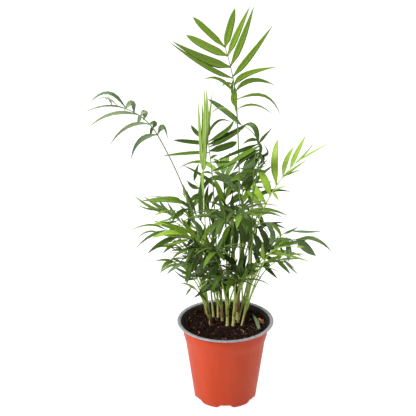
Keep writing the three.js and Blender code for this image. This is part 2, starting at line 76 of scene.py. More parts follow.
# Where each cane and frond stands, as in the solids. foot: where the cane leaves the
# compost. lean and heading: how far it leans from upright, and to which side (0 is +X, 90
# is +Y). The first frond of a cane stands on its tip, and the others leave its side.
CLUMP = [
  dict(name="a", foot=(-19, 6), heading=175, lean=7, height=58, radius=1.5, fronds=[
    spray("lax", "grey", 178, 3, 205, 28, 90, 82, sway=-20),
    spray("full", "dark", 176, 11, 58, 13, 52, 52, at=44),
    spray("small", "mid", 205, 12, 38, 12, 42, 34, at=30),
    spray("small", "mid", 222, 14, 34, 15, 32, 50, at=14),
  ]),
  dict(name="b", foot=(-15, 27), heading=180, lean=5, height=74, radius=1.35, fronds=[
    spray("spear", "bright", 180, 5, 128, -4, 40, 0, roll=90),
    spray("full", "dark", 165, 10, 66, 22, 62, 58, at=52),
  ]),
  dict(name="c", foot=(-9, 25), heading=180, lean=2, height=70, radius=1.5, fronds=[
    spray("fan", "dark", 102, 1, 112, 22, 60, 26),
    spray("full", "mid", 190, 6, 80, 26, 42, 56, at=58),
    spray("full", "mid", 150, 12, 62, 24, 56, 56, at=40),
    spray("full", "dark", 120, 5, 70, 18, 56, 50, at=66),
    spray("small", "dark", -168, 9, 50, 22, 46, 44, at=26),
  ]),
  dict(name="d", foot=(-4, 15), heading=180, lean=2, height=62, radius=1.5, fronds=[
    spray("full", "mid", -165, 5, 84, 26, 80, 56),
    spray("full", "bright", 196, 11, 56, 26, 66, 32, at=52),
    spray("small", "dark", -125, 12, 50, 24, 50, 50, at=34),
    spray("small", "mid", -95, 10, 64, 24, 50, 56, at=44),
    spray("small", "dark", -150, 11, 42, 20, 44, 44, at=22),
  ]),
  dict(name="e", foot=(2.5, 0), heading=60, lean=2, height=60, radius=1.8, fronds=[
    spray("full", "mid", -80, 5, 92, 22, 70, 60),
    spray("small", "dark", -95, 14, 40, 30, 52, 40, at=44),
    spray("small", "mid", -60, 16, 50, 24, 48, 50, at=30),
    spray("small", "dark", -130, 12, 60, 26, 52, 50, at=52),
    spray("small", "dark", -112, 10, 46, 20, 44, 44, at=22),
  ]),
  dict(name="f", foot=(10, 0), heading=20, lean=3, height=72, radius=1.9, fronds=[
    spray("fan", "dark", 186, -13, 160, 6, 58, 84),
    spray("small", "dark", -15, 9, 42, 38, 46, 46, at=46),
    spray("full", "mid", -100, 7, 96, 24, 66, 56, at=60),
    spray("small", "mid", -75, 14, 46, 26, 46, 50, at=34),
    spray("small", "mid", -88, 10, 44, 22, 44, 46, at=22),
  ]),
  dict(name="g", foot=(15, 18), heading=20, lean=3, height=72, radius=1.75, fronds=[
    spray("crown", "mid", 122, 0, 208, 5, 80, 26, sway=6),
    spray("full", "mid", 85, 6, 78, 22, 54, 46, at=60),
    spray("full", "dark", -10, 16, 52, 24, 54, 50, at=44),
    spray("small", "dark", -60, 10, 84, 20, 54, 56, at=54),
  ]),
  dict(name="h", foot=(16, 9), heading=2, lean=12, height=56, radius=1.35, fronds=[
    spray("young", "bright", 5, 0, 104, 22, 84, 26, roll=24),
    spray("full", "dark", -12, 18, 62, 12, 66, 64, at=38),
    spray("small", "dark", -95, 12, 50, 20, 44, 50, at=28),
  ]),
  dict(name="i", foot=(21, 2), heading=-6, lean=11, height=60, radius=1.3, fronds=[
    spray("full", "dark", -80, 0, 143, 5, 50, 34),
    spray("full", "bright", -35, 16, 64, 8, 60, 66, at=36),
    spray("small", "mid", 35, 16, 42, 24, 42, 50, at=24),
  ]),
  dict(name="j", foot=(2, 34), heading=90, lean=6, height=62, radius=1.35, fronds=[
    spray("full", "mid", 95, 6, 80, 24, 60, 50),
    spray("full", "dark", 60, 12, 60, 30, 66, 50, at=46),
    spray("small", "mid", 125, 14, 50, 30, 56, 50, at=30),
  ]),
  dict(name="k", foot=(24, 26), heading=42, lean=9, height=60, radius=1.35, fronds=[
    spray("full", "mid", 70, 8, 66, 24, 56, 50),
    spray("full", "dark", 36, 14, 48, 30, 54, 56, at=42),
    spray("small", "mid", 50, 16, 44, 30, 50, 50, at=26),
  ]),
  dict(name="l", foot=(-24, 33), heading=130, lean=9, height=58, radius=1.35, fronds=[
    spray("full", "mid", 112, 7, 56, 24, 62, 60),
    spray("full", "dark", 155, 14, 44, 24, 54, 56, at=40),
    spray("small", "mid", 180, 16, 40, 24, 40, 50, at=24),
  ]),
]

# The leaflets that have no marks, by their frond's habit: pairs of them, length and width of
# the longest one, the angles of the first and last pair with the rib, and how much they hang.
HABIT = {
    "full": dict(pairs=6, leaflet=70, width=6.4, open=(54, 12), hang=0.85),
    "small": dict(pairs=5, leaflet=56, width=5.4, open=(54, 14), hang=1.0),
}

# How far those stand up from the frond's face, and how far their roots are from the rib's
# middle.
RISE, ROOT = 0.3, 0.32

# The view: where its eye stands, how far it looks down, and its focal length in pixels.
EYE, LOOKS_DOWN, FOCAL, MIDDLE = (-22.05, -2153.42, 1166.61), 22.82, 1890.0, 208

# The leaflets of the fronds that stand out, one by one. Each has three marks in the view, as
# pixels from its left and top: the root, the bend and the tip. The width in millimetres comes
# next, and then, for some, how blunt the tip is.
MARKED = {
  "a1": [
    (157,136, 139,141, 131,161, 6.5), (148,126, 127,127, 108,148, 4.8), (138,117, 112,114, 88,128, 5),
    (128,108, 105,106, 82,114, 2.8), (127,105, 108,93, 89,104, 5.2), (134,112, 131,103, 124,111, 8),
    (139,118, 145,113, 143,121, 8), (138,116, 139,120, 136,126, 5), (151,130, 154,123, 148,125, 7),
    (151,127, 151,131, 149,139, 4.5), (157,136, 163,127, 168,140, 7), (119,100, 106,98, 94,102, 2.2),
    (113,99, 108,98, 105,103, 3),
  ],
  "a2": [
    (180,238, 158,233, 135,249, 5.5), (178,237, 162,243, 147,254, 7), (180,240, 171,246, 162,254, 5.5),
    (165,229, 148,225, 128,232, 3.2), (186,246, 193,238, 198,228, 6), (189,252, 198,258, 204,268, 7),
  ],
  "a3": [
    (196,278, 184,272, 171,265, 5), (197,280, 184,277, 173,269, 5), (192,272, 187,268, 182,263, 8),
    (186,267, 180,262, 171,259, 4), (194,275, 200,268, 205,258, 7),
  ],
  "a4": [
    (196,291, 190,285, 179,283, 4.5), (191,289, 188,292, 185,297, 3), (199,294, 205,288, 212,283, 7),
    (197,292, 203,296, 208,304, 5),
  ],
  "b1": [
    (203,172, 200,133, 198,98, 4.5), (203,168, 203,132, 202,100, 4.5), (203,163, 205,125, 204,86, 5.5),
    (203,158, 207,122, 206,87, 5.5), (203,168, 208,128, 213,88, 4.5), (203,172, 201,150, 200,116, 5),
    (203,172, 205,150, 208,110, 5.5), (203,172, 202,183, 203,197, 5.5), (203,170, 204,160, 206,132, 6),
  ],
  "b2": [
    (167,216, 150,207, 134,195, 5.5), (170,219, 156,205, 143,196, 5.5), (174,221, 165,209, 157,196, 5.5),
    (180,225, 173,212, 167,201, 5), (158,212, 148,209, 135,204, 3), (176,223, 165,223, 151,220, 3.5),
    (186,230, 189,220, 188,210, 5),
  ],
  "c1": [
    (208,138, 198,134, 191,125, 5.5, 5), (208,144, 192,142, 173,140, 5.5, 4),
    (209,153, 190,153, 162,156, 4.5, 3), (212,163, 193,162, 177,170, 3), (207,138, 208,130, 210,122, 7),
    (208,137, 218,121, 232,123, 3.6), (213,141, 226,131, 234,119, 6.5), (212,144, 228,136, 247,124, 8, 3.4),
    (212,147, 228,138, 244,128, 5), (212,151, 224,147, 237,142, 8.5, 6), (211,159, 214,156, 219,155, 3.5),
    (212,162, 224,162, 236,161, 3.5), (214,171, 226,166, 238,162, 4), (213,174, 206,172, 199,176, 3),
  ],
  "c2": [
    (195,224, 190,205, 187,189, 5), (190,219, 184,210, 179,205, 5), (183,215, 176,216, 164,222, 6),
    (176,212, 168,211, 160,211, 3), (168,211, 160,213, 152,216, 3),
  ],
  "c3": [
    (188,235, 172,227, 154,223, 8), (192,239, 178,236, 160,235, 6), (196,243, 203,235, 205,222, 6),
    (178,228, 170,231, 160,231, 5), (167,222, 158,223, 150,226, 3), (197,245, 207,248, 214,258, 7),
  ],
  "c4": [
    (209,216, 206,200, 209,184, 7), (206,206, 210,197, 214,190, 6), (203,198, 195,197, 188,206, 7),
    (199,189, 192,186, 187,180, 6), (194,181, 196,172, 199,163, 5), (208,212, 214,222, 216,240, 7),
    (201,193, 206,183, 211,177, 5),
  ],
  "c5": [
    (198,264, 190,260, 181,254, 7), (194,260, 188,262, 180,266, 6), (184,254, 178,250, 169,252, 4),
    (201,266, 207,256, 212,246, 7), (188,256, 191,248, 196,241, 6),
  ],
  "d1": [
    (184,203, 170,200, 141,201, 10), (189,209, 178,214, 172,223, 6), (200,221, 201,200, 200,181, 7),
    (196,215, 190,200, 184,187, 5), (190,208, 184,203, 178,199, 4.5), (168,200, 159,201, 150,203, 5),
  ],
  "d2": [
    (201,250, 191,233, 180,217, 10), (186,237, 168,233, 151,239, 7), (190,240, 178,230, 165,225, 8),
    (188,242, 176,243, 163,245, 4.5), (163,226, 158,224, 153,224, 5), (200,249, 204,238, 210,222, 6),
  ],
  "d3": [
    (210,271, 203,270, 196,280, 7), (206,268, 200,262, 194,258, 7), (211,272, 218,272, 222,284, 8),
    (200,266, 192,268, 186,276, 6), (208,269, 212,260, 216,248, 8),
  ],
  "d4": [
    (218,255, 210,246, 206,232, 6), (218,256, 208,260, 203,276, 7), (219,257, 228,258, 236,270, 8),
    (217,254, 221,242, 226,232, 6), (218,256, 215,268, 217,284, 8), (217,255, 212,250, 198,250, 6),
  ],
  "d5": [
    (206,279, 198,275, 187,278, 6), (200,273, 194,268, 184,264, 7), (210,281, 205,289, 193,298, 7),
    (194,270, 189,272, 180,274, 4.5), (208,280, 214,272, 218,262, 8), (209,281, 217,285, 222,296, 7),
  ],
  "e1": [
    (235,221, 228,212, 222,198, 6), (238,218, 232,206, 233,192, 6), (232,226, 228,240, 226,262, 7.5),
    (238,218, 243,234, 241,258, 9), (240,217, 249,222, 251,246, 8), (235,221, 236,236, 233,252, 6),
    (239,217, 243,207, 240,195, 5),
  ],
  "e2": [
    (226,277, 222,285, 212,292, 9), (226,278, 234,283, 237,297, 8), (226,277, 232,268, 238,258, 7),
  ],
  "e3": [
    (243,280, 240,272, 242,260, 8), (241,281, 234,276, 228,282, 7), (248,277, 256,272, 262,266, 6),
  ],
  "e4": [
    (205,254, 198,246, 194,236, 7), (202,253, 198,260, 193,270, 7), (196,251, 190,256, 184,266, 6),
    (208,255, 212,244, 218,236, 7), (198,252, 190,248, 181,250, 5),
  ],
  "e5": [
    (220,284, 212,287, 202,293, 7), (222,285, 226,290, 228,300, 6), (216,280, 208,276, 200,282, 7),
    (213,277, 216,268, 222,260, 8),
  ],
  "f1": [
    (242,122, 226,112, 208,99, 8, 5), (237,121, 223,108, 210,116, 3.5), (245,122, 254,128, 258,146, 10, 3),
    (257,142, 260,150, 257,160, 8), (257,144, 265,136, 273,127, 4.5), (255,142, 250,140, 242,145, 4.5),
    (260,156, 268,153, 263,144, 4.5), (259,156, 264,158, 257,167, 7), (255,145, 237,152, 214,162, 5),
    (255,147, 240,157, 221,169, 6.5), (256,150, 245,158, 232,173, 7), (257,152, 250,162, 240,178, 6),
    (254,150, 249,158, 243,168, 3), (258,150, 262,158, 266,165, 6), (256,154, 252,162, 248,169, 2.8),
    (257,157, 254,166, 248,173, 7),
  ],
  "f2": [
    (276,262, 284,267, 291,275, 5.5), (283,262, 292,269, 300,276, 3), (263,265, 270,271, 278,279, 5.5),
    (284,262, 290,265, 296,270, 2.6), (258,267, 249,268, 239,275, 9), (260,266, 257,258, 252,252, 6),
    (268,263, 276,258, 284,257, 5),
  ],
  "f3": [
    (230,226, 220,222, 213,238, 7), (228,223, 219,214, 206,212, 7), (226,221, 216,224, 208,240, 7),
    (231,227, 236,236, 234,254, 8), (229,224, 224,238, 221,258, 7), (225,221, 222,208, 217,194, 6),
  ],
  "f4": [
    (248,279, 246,270, 249,260, 6), (252,278, 254,268, 258,258, 6),
  ],
  "f5": [
    (236,285, 238,276, 236,264, 8), (236,284, 244,276, 246,266, 7),
  ],
  "g1": [
    (221,48, 208,32, 193,17, 8, 5), (222,48, 229,30, 235,8, 9.5, 4), (224,57, 207,47, 186,35, 10, 5),
    (224,57, 237,34, 250,6, 8), (227,68, 204,59, 172,41, 11, 1.8), (227,67, 242,40, 254,6, 8.5),
    (229,79, 205,66, 168,41, 6.5), (230,77, 250,56, 273,25, 8), (231,86, 247,74, 277,67, 7.5),
    (235,92, 252,80, 276,86, 6.5), (236,100, 265,96, 281,118, 4), (237,109, 256,105, 275,117, 3),
    (232,95, 219,79, 203,80, 4.5), (232,86, 226,83, 222,88, 3), (232,86, 235,100, 236,113, 6),
    (231,90, 232,100, 237,108, 3.8), (229,80, 232,92, 236,104, 3.4),
  ],
  "g2": [
    (242,205, 246,196, 257,192, 7), (243,196, 237,197, 229,203, 8), (243,190, 253,188, 267,187, 5),
    (244,182, 238,178, 227,184, 8), (241,214, 246,226, 244,240, 11), (241,210, 233,208, 228,214, 6),
    (244,181, 250,176, 258,172, 7), (243,190, 231,180, 213,172, 9.5),
  ],
  "g3": [
    (281,247, 297,242, 314,236, 5.5), (280,247, 283,252, 287,257, 3), (272,250, 266,245, 257,243, 7),
    (268,252, 276,246, 282,238, 7), (262,257, 256,250, 252,240, 7), (264,255, 272,259, 281,262, 4.5),
  ],
  "g4": [
    (257,230, 268,224, 285,222, 5.5), (262,226, 274,224, 288,230, 4.5), (254,234, 258,244, 254,258, 8),
    (259,228, 266,240, 264,257, 8), (265,225, 272,232, 272,248, 6), (253,235, 246,240, 240,250, 6),
    (268,225, 278,230, 281,240, 5),
  ],
  "h1": [
    (262,210, 254,198, 243,186, 6.5), (265,203, 256,190, 249,179, 9, 2.6),
    (270,196, 265,180, 256,166, 9.5, 2.6), (276,185, 275,160, 278,139, 9.5, 2.6),
    (283,177, 287,160, 294,147, 7.5, 2.4), (290,169, 297,153, 306,135, 6.5, 2.2),
    (294,165, 305,154, 316,140, 2.6), (297,163, 315,151, 333,141, 2.8), (283,180, 295,168, 310,158, 3),
    (285,178, 294,172, 304,169, 2.4), (274,191, 280,188, 288,185, 2.6), (274,192, 276,196, 279,202, 4),
    (262,211, 255,215, 245,216, 3),
  ],
  "h2": [
    (299,241, 316,240, 332,252, 6.5), (297,242, 306,248, 316,256, 11), (289,245, 289,253, 288,262, 7.5),
    (280,249, 287,245, 297,241, 8), (272,255, 268,247, 266,236, 7), (276,252, 270,248, 262,250, 6.5),
    (284,247, 284,241, 288,236, 5),
  ],
  "h3": [
    (241,276, 235,270, 226,272, 8), (241,275, 243,264, 248,254, 7), (240,274, 234,264, 232,250, 7),
    (240,272, 242,258, 243,242, 7), (241,277, 248,272, 256,270, 7),
  ],
  "i1": [
    (254,172, 247,170, 238,176, 8), (254,176, 248,180, 241,187, 8), (256,170, 263,171, 270,169, 3.4),
    (254,178, 250,172, 243,172, 5), (256,160, 250,166, 238,169, 6), (255,164, 248,174, 240,188, 6),
    (252,176, 250,184, 244,194, 6),
  ],
  "i2": [
    (272,257, 290,254, 309,254, 4), (276,256, 295,257, 311,262, 3.5), (266,261, 262,252, 263,243, 6.5),
    (270,258, 274,250, 281,247, 6), (296,249, 300,247, 305,247, 3),
  ],
  "i3": [
    (281,262, 290,259, 300,259, 4), (277,264, 270,259, 263,257, 6), (279,263, 279,255, 275,248, 6),
    (272,268, 266,265, 259,267, 6),
  ],
  "j1": [
    (225,206, 219,190, 214,178, 7.5), (224,200, 232,185, 240,177, 8), (223,190, 230,178, 240,171, 8),
    (222,182, 214,178, 207,186, 7), (225,207, 222,222, 218,240, 8), (225,204, 231,215, 232,232, 7),
    (222,170, 228,165, 238,163, 6), (224,196, 217,199, 211,210, 7),
  ],
  "j2": [
    (243,224, 238,214, 236,202, 6), (250,212, 244,206, 235,206, 6), (240,232, 246,230, 250,240, 8),
    (254,208, 250,200, 248,192, 5), (242,228, 234,226, 228,234, 7), (247,218, 254,224, 256,238, 7),
    (240,230, 234,242, 235,264, 7), (244,224, 250,240, 248,262, 8),
  ],
  "k1": [
    (257,220, 250,222, 246,232, 7), (258,214, 262,222, 262,232, 6), (256,218, 262,214, 268,214, 5),
  ],
  "k2": [
    (292,234, 308,232, 323,231, 4), (285,238, 291,231, 299,226, 3.8), (276,244, 283,240, 292,239, 7),
    (270,249, 274,240, 274,229, 4.5), (274,246, 268,240, 262,236, 7), (268,250, 262,246, 251,250, 7),
  ],
  "l1": [
    (196,226, 190,212, 190,196, 6.5), (193,215, 188,202, 186,190, 5), (190,208, 197,200, 199,188, 6),
    (195,222, 201,232, 204,246, 7), (184,197, 184,189, 183,184, 4),
  ],
  "l2": [
    (160,234, 147,232, 136,240, 3), (184,250, 196,252, 205,262, 6), (170,240, 177,233, 186,229, 5),
  ],
  "l3": [
    (176,263, 165,260, 153,262, 4), (174,262, 166,264, 161,271, 6), (183,267, 177,260, 169,258, 3.5),
    (187,272, 192,262, 196,254, 6), (186,270, 197,270, 205,278, 6),
  ],
}

# Inner fronds that keep the rule's leaflets beside their marked ones.
FILLED = ("c5", "d3", "d4", "d5", "e1", "e2", "e4", "e5", "f3", "f5", "g2", "h3", "j1")

# The compost: flat in the middle, and banked up against the wall from the shoulder out.
SOIL = dict(top=98.0, shoulder=44.0, edge=102.6, edge_radius=53.1)

# A cane's width at its foot and tip, as shares of its own, and the gap between two pieces
# that touch on a real plant.
FLARE, CANE_TIP, GAP = 1.25, 0.82, 0.3

# A rib's radius at its tip and where its leaflets start, and that of a stalk on a cane's side.
TIP_RADIUS, BLADE_RADIUS, SIDE_RADIUS = 0.45, 0.85, 1.15

# The room between limbs, how much of a stalk may lie along its own cane, and how far a rib
# runs past its last leaflets.
CLEARANCE, BARE, POINT = 0.7, 14, 3

# How far a rib is turned aside until it is clear, in the order that is tried.
TURNS = [0, 3, -3, 6, -6, 9, -9, 13, -13, 17, -17, 22, -22, 27, -27]

# ---------------------------------------------------------------- the growing rule


def lerp(a, b, u):
    return a + (b - a) * u


def clamped(u):
    return min(max(u, 0.0), 1.0)


def eased(u):
    u = clamped(u)
    return u * u * (3 - 2 * u)


def unit(vector):
    return vector / max(np.linalg.norm(vector), FLAT)


def direction(lean, heading):
    """The way that leans so far from upright, to that side."""
    theta, phi = math.radians(lean), math.radians(heading)
    return np.array(
        [math.sin(theta) * math.cos(phi), math.sin(theta) * math.sin(phi), math.cos(theta)]
    )


def turned(vector, axis, angle):
    """The vector turned about an axis of length one."""
    a = math.radians(angle)
    return (
        vector * math.cos(a)
        + np.cross(axis, vector) * math.sin(a)
        + axis * np.dot(axis, vector) * (1 - math.cos(a))
    )


def cane_point(cane, along):
    foot = np.array([*cane["foot"], SOIL["top"] + GAP])
    return foot + direction(cane["lean"], cane["heading"]) * along


def cane_radius(cane, along):
    taper = lerp(1, CANE_TIP, along / cane["height"])
    return cane["radius"] * (taper + (FLARE - 1) * math.exp(-along / 3))


def rib_path(frond, turn):
    """The rib's points a millimetre apart, with its lean and heading at each."""
    cane, stalk, blade = frond["cane"], frond["stalk"], frond["blade"]
    heading = frond["heading"] + turn
    on_tip = frond["at"] is None
    point = cane_point(cane, cane["height"] + GAP if on_tip else frond["at"])
    if not on_tip:
        reach = cane_radius(cane, frond["at"]) + GAP + SIDE_RADIUS
        point = point + direction(90, heading) * reach
    path = []
    for s in range(stalk + blade + 1):
        if s < stalk:
            lean = frond["lean"] + frond["arc"] * s / stalk
        else:
            lean = frond["lean"] + frond["arc"] + frond["droop"] * (s - stalk) / blade
        phi = heading + frond["sway"] * s / (stalk + blade)
        path.append((point, lean, phi))
        point = point + direction(lean, phi)
    return path


def rib_radius(frond, s):
    foot = frond["cane"]["radius"] * CANE_TIP if frond["at"] is None else SIDE_RADIUS
    if s < frond["stalk"]:
        return lerp(foot, BLADE_RADIUS, min(1, s / min(frond["stalk"], 60)))
    return lerp(BLADE_RADIUS, TIP_RADIUS, (s - frond["stalk"]) / frond["blade"])


def rib_frame(frond, s):
    """A place on the rib: its point, and the ways along it, to its side and up from its face."""
    last = len(frond["path"]) - 1
    k = min(int(s), last - 1)
    point, lean, phi = (
        lerp(a, b, min(s - k, 1)) for a, b in zip(frond["path"][k], frond["path"][k + 1])
    )
    along = direction(lean, phi)
    blade = clamped((s - frond["stalk"] * 0.6) / (frond["stalk"] * 0.4))
    side = turned(direction(90, phi + 90), along, frond["roll"] * blade)
    return point, along, side, np.cross(along, side)


def settle(fronds):
    """Turns each frond aside by the least that takes its rib clear of canes and earlier ribs."""
    limbs = []
    for cane in CLUMP:
        points = np.array([cane_point(cane, s) for s in range(cane["height"] + 1)])
        limbs.append((points, cane["radius"], cane["name"]))
    for frond in fronds:
        for turn in TURNS:
            path = rib_path(frond, turn)
            points = np.array([p for p, _, _ in path])
            for others, radius, owner in limbs:
                own = points[BARE:] if owner == frond["cane"]["name"] else points
                reach = SIDE_RADIUS + radius + CLEARANCE
                if (np.linalg.norm(own[:, None] - others[None], axis=2) < reach).any():
                    break
            else:
                break
        else:
            raise RuntimeError(f"no room for the rib of {frond['name']}")
        frond["path"] = path
        limbs.append((points, BLADE_RADIUS, None))


def wobble(frond, row, t, k):
    """A repeatable number from -1 to 1 for each leaflet, so that no two are quite alike."""
    return math.sin(
        frond["heading"] * 1.7 + frond["stalk"] * 3.1 + row * 7.3 + t * 41 + k * 11.9
    )


def all_fronds():
    fronds = []
    for cane in CLUMP:
        for k, own in enumerate(cane["fronds"]):
            name = f"{cane['name']}{k + 1}"
            fronds.append({**own, "cane": cane, "name": name})
    settle(fronds)
    return fronds


# ---------------------------------------------------------------- sizes and colours


def linear(hexa):
    """The linear colour of an sRGB hex value."""
    parts = [(hexa >> shift & 255) / 255 for shift in (16, 8, 0)]
    return [c / 12.92 if c <= 0.04045 else ((c + 0.055) / 1.055) ** 2.4 for c in parts]


def length_of(name, description, default):
    return FloatProperty(
        name=name, description=description, default=default * MM, unit="LENGTH", min=0, precision=4
    )


def colour_of(name, description, hexa):
    return FloatVectorProperty(
        name=name, description=description, default=linear(hexa), subtype="COLOR", min=0, max=1
    )


class PALM_PG_pot(bpy.types.PropertyGroup):
    """Sizes of the nursery pot"""

    height: length_of("Height", "From the ground to the top of the lip", 107)
    rim_radius: length_of("Lip radius", "Outer radius of the lip", 61.2)
    wall: length_of("Wall", "Thickness of the moulded wall", 1.4)
    notch_height: length_of("Notch height", "Height of the six notches in the foot", 5)
    sides: IntProperty(name="Sides", description="Flats round the pot", default=144, min=24)


class PALM_PG_compost(bpy.types.PropertyGroup):
    """Sizes of the compost"""

    relief: length_of("Relief", "How far the surface rises and falls", 3.2)
    crumbs: IntProperty(name="Crumbs", description="Loose crumbs on top", default=2600, min=0)
    fibres: IntProperty(name="Fibres", description="Loose fibres on top", default=150, min=0)
    chips: IntProperty(name="Chips", description="Small bark chips on top", default=20, min=0)


class PALM_PG_leaf(bpy.types.PropertyGroup):
    """Sizes of the leaflets"""

    thickness: length_of("Thickness", "Thickness of a leaflet at its midrib", 0.35)
    fold: FloatProperty(
        name="Fold", description="Rise of a leaflet's edges, as a share of its half width", default=0.38
    )
    pleat: FloatProperty(
        name="Pleat", description="Depth of the side folds, as a share of the half width", default=0.07
    )


class PALM_PG_colours(bpy.types.PropertyGroup):
    """Main colours"""

    terracotta: colour_of("Pot", "Outside of the pot", 0xAC3510)
    lip: colour_of("Lip", "Lip of the pot", 0x909095)
    compost: colour_of("Compost", "Damp peat", 0x1E120D)
    cane: colour_of("Canes", "Canes and stalks", 0x92A64A)
    leaf_dark: colour_of("Old leaves", "Leaflets of the old fronds", 0x425C1A)
    leaf_mid: colour_of("Grown leaves", "Leaflets of the grown fronds", 0x577419)
    leaf_bright: colour_of("Young leaves", "Leaflets of the young fronds", 0x86A630)
    # The greyish leaves' colour is partly their bloom and partly a painted greyish sheen.
    leaf_grey: colour_of("Greyish leaves", "Leaflets with a greyish bloom", 0x697B50)


# ---------------------------------------------------------------- finishes


def add_node(tree, kind, settings=(), values=(), links=()):
    """Adds a node with its settings, its sockets' values and what links to them."""
    made = tree.nodes.new(kind)
    for key, value in dict(settings).items():
        setattr(made, key, value)
    for key, value in dict(values).items():
        made.inputs[key].default_value = value
    for key, socket in dict(links).items():
        tree.links.new(socket, made.inputs[key])
    return made


def new_finish(name, roughness, ior=1.5, **sockets):
    """A material with its shader, and the constants set on the shader's own sockets."""
    material = bpy.data.materials.new(name)
    material.use_nodes = True
    tree = material.node_tree
    shader = tree.nodes["Principled BSDF"]
    shader.inputs["Roughness"].default_value = roughness
    shader.inputs["IOR"].default_value = ior
    for key, value in sockets.items():
        shader.inputs[key.replace("_", " ")].default_value = value
    return material, tree, shader


def rgba(colour):
    return (*colour, 1.0)


def shade(colour, factor):
    """The colour made lighter or darker."""
    return [min(c * factor, 1.0) for c in colour]


def blend(one, other, share):
    return [lerp(a, b, share) for a, b in zip(one, other)]


def mottled(tree, shader, one, other, scale, detail=4, stretch=(1, 1, 1), low=0.35, high=0.65):
    """Base colour that wanders between two colours, in patches 1/scale metres wide."""
    place = add_node(tree, "ShaderNodeTexCoord")
    mapped = add_node(
        tree, "ShaderNodeMapping", values={"Scale": stretch}, links={"Vector": place.outputs["Object"]}
    )
    noise = add_node(
        tree,
        "ShaderNodeTexNoise",
        values={"Scale": scale, "Detail": detail, "Roughness": 0.6},
        links={"Vector": mapped.outputs[0]},
    )
    share = add_node(
        tree,
        "ShaderNodeMapRange",
        values={"From Min": low, "From Max": high},
        links={"Value": noise.outputs["Fac"]},
    )
    mix = add_node(
        tree,
        "ShaderNodeMix",
        {"data_type": "RGBA"},
        {6: rgba(one), 7: rgba(other)},
        {0: share.outputs["Result"]},
    )
    tree.links.new(mix.outputs[2], shader.inputs["Base Color"])
    return mapped, mix


def rough_and_bump(tree, shader, mapped, scale, depth, roughness=None):
    """Relief of that depth in metres, and roughness that wanders with it."""
    noise = add_node(
        tree,
        "ShaderNodeTexNoise",
        values={"Scale": scale, "Detail": 3},
        links={"Vector": mapped.outputs[0]},
    )
    bump = add_node(
        tree,
        "ShaderNodeBump",
        values={"Distance": depth, "Strength": 1.0},
        links={"Height": noise.outputs["Fac"]},
    )
    tree.links.new(bump.outputs["Normal"], shader.inputs["Normal"])
    if roughness:
        spread = add_node(
            tree,
            "ShaderNodeMapRange",
            values={"From Min": 0.3, "From Max": 0.7, "To Min": roughness[0], "To Max": roughness[1]},
            links={"Value": noise.outputs["Fac"]},
        )
        tree.links.new(spread.outputs["Result"], shader.inputs["Roughness"])


def thermoformed_terracotta():
    """Polypropylene sheet drawn over a mould: satin, with faint flow marks and handling scuffs."""
    colour = bpy.context.scene.palm_colours.terracotta
    material, tree, shader = new_finish(
        "thermoformed_terracotta_polypropylene", 0.48, 1.49, Specular_IOR_Level=0.22
    )
    mapped, _ = mottled(
        tree, shader, shade(colour, 0.94), blend(colour, linear(0xC45A3A), 0.16), 26, 3, (1, 1, 0.35)
    )
    # The sheet's grain is about 0.4 mm, drawn at 1.2 mm so that it still shows.
    rough_and_bump(tree, shader, mapped, 830, 0.00006, (0.42, 0.56))
    return material


def scuffed_grey_lip():
    """The sheet's grey inner layer, rolled over the lip: silvery, scuffed, a little glossy."""
    colour = bpy.context.scene.palm_colours.lip
    material, tree, shader = new_finish("scuffed_grey_polypropylene_lip", 0.34, 1.49)
    mapped, _ = mottled(tree, shader, shade(colour, 0.72), shade(colour, 1.12), 150, 5)
    rough_and_bump(tree, shader, mapped, 420, 0.00010, (0.26, 0.46))
    return material


def near_black_inside():
    """The same layer inside the pot, near black and mottled with dark brown."""
    material, tree, shader = new_finish(
        "near_black_polypropylene_inside", 0.7, 1.49, Specular_IOR_Level=0.2
    )
    mapped, _ = mottled(tree, shader, linear(0x100C0A), linear(0x2A221E), 90, 6)
    rough_and_bump(tree, shader, mapped, 500, 0.00008)
    return material


def peat_compost(name, factor):
    """Damp peat with coir: near black in its hollows, brown on its dry crumbs, no shine."""
    colour = bpy.context.scene.palm_colours.compost
    material, tree, shader = new_finish(name, 0.92, 1.45, Specular_IOR_Level=0.08)
    one = shade(colour, factor * 0.5)
    other = shade(blend(colour, linear(0x4A3026), 0.3), factor * 1.25)
    mapped, _ = mottled(tree, shader, one, other, 240, 8, low=0.38, high=0.66)
    # Peat crumbs run down to about 0.5 mm.
    rough_and_bump(tree, shader, mapped, 1300, 0.0005)
    return material


def dry_wood(name, hexa):
    """Weathered wood and coir: pale, dull, streaked along the grain."""
    colour = linear(hexa)
    material, tree, shader = new_finish(name, 0.8, 1.5)
    mapped, _ = mottled(tree, shader, shade(colour, 0.6), shade(colour, 1.15), 500, 4, (1, 0.25, 1))
    rough_and_bump(tree, shader, mapped, 1500, 0.0002)
    return material


def palm_cane_skin(name, colour, foot, low, high):
    """Smooth waxy skin of a palm's cane or stalk: its foot's colour up to one height, and its
    own, greener one from the other height up."""
    material, tree, shader = new_finish(name, 0.42, 1.45)
    mapped, mix = mottled(tree, shader, shade(colour, 0.86), shade(colour, 1.12), 420, 3, (1, 1, 0.08))
    place = add_node(tree, "ShaderNodeTexCoord")
    height = add_node(tree, "ShaderNodeSeparateXYZ", links={0: place.outputs["Object"]})
    share = add_node(
        tree,
        "ShaderNodeMapRange",
        {"interpolation_type": "SMOOTHSTEP"},
        {"From Min": low, "From Max": high},
        {"Value": height.outputs["Z"]},
    )
    graded = add_node(
        tree,
        "ShaderNodeMix",
        {"data_type": "RGBA"},
        {6: rgba(foot)},
        {0: share.outputs["Result"], 7: mix.outputs[2]},
    )
    tree.links.new(graded.outputs[2], shader.inputs["Base Color"])
    rough_and_bump(tree, shader, mapped, 900, 0.00012, (0.36, 0.5))
    return material


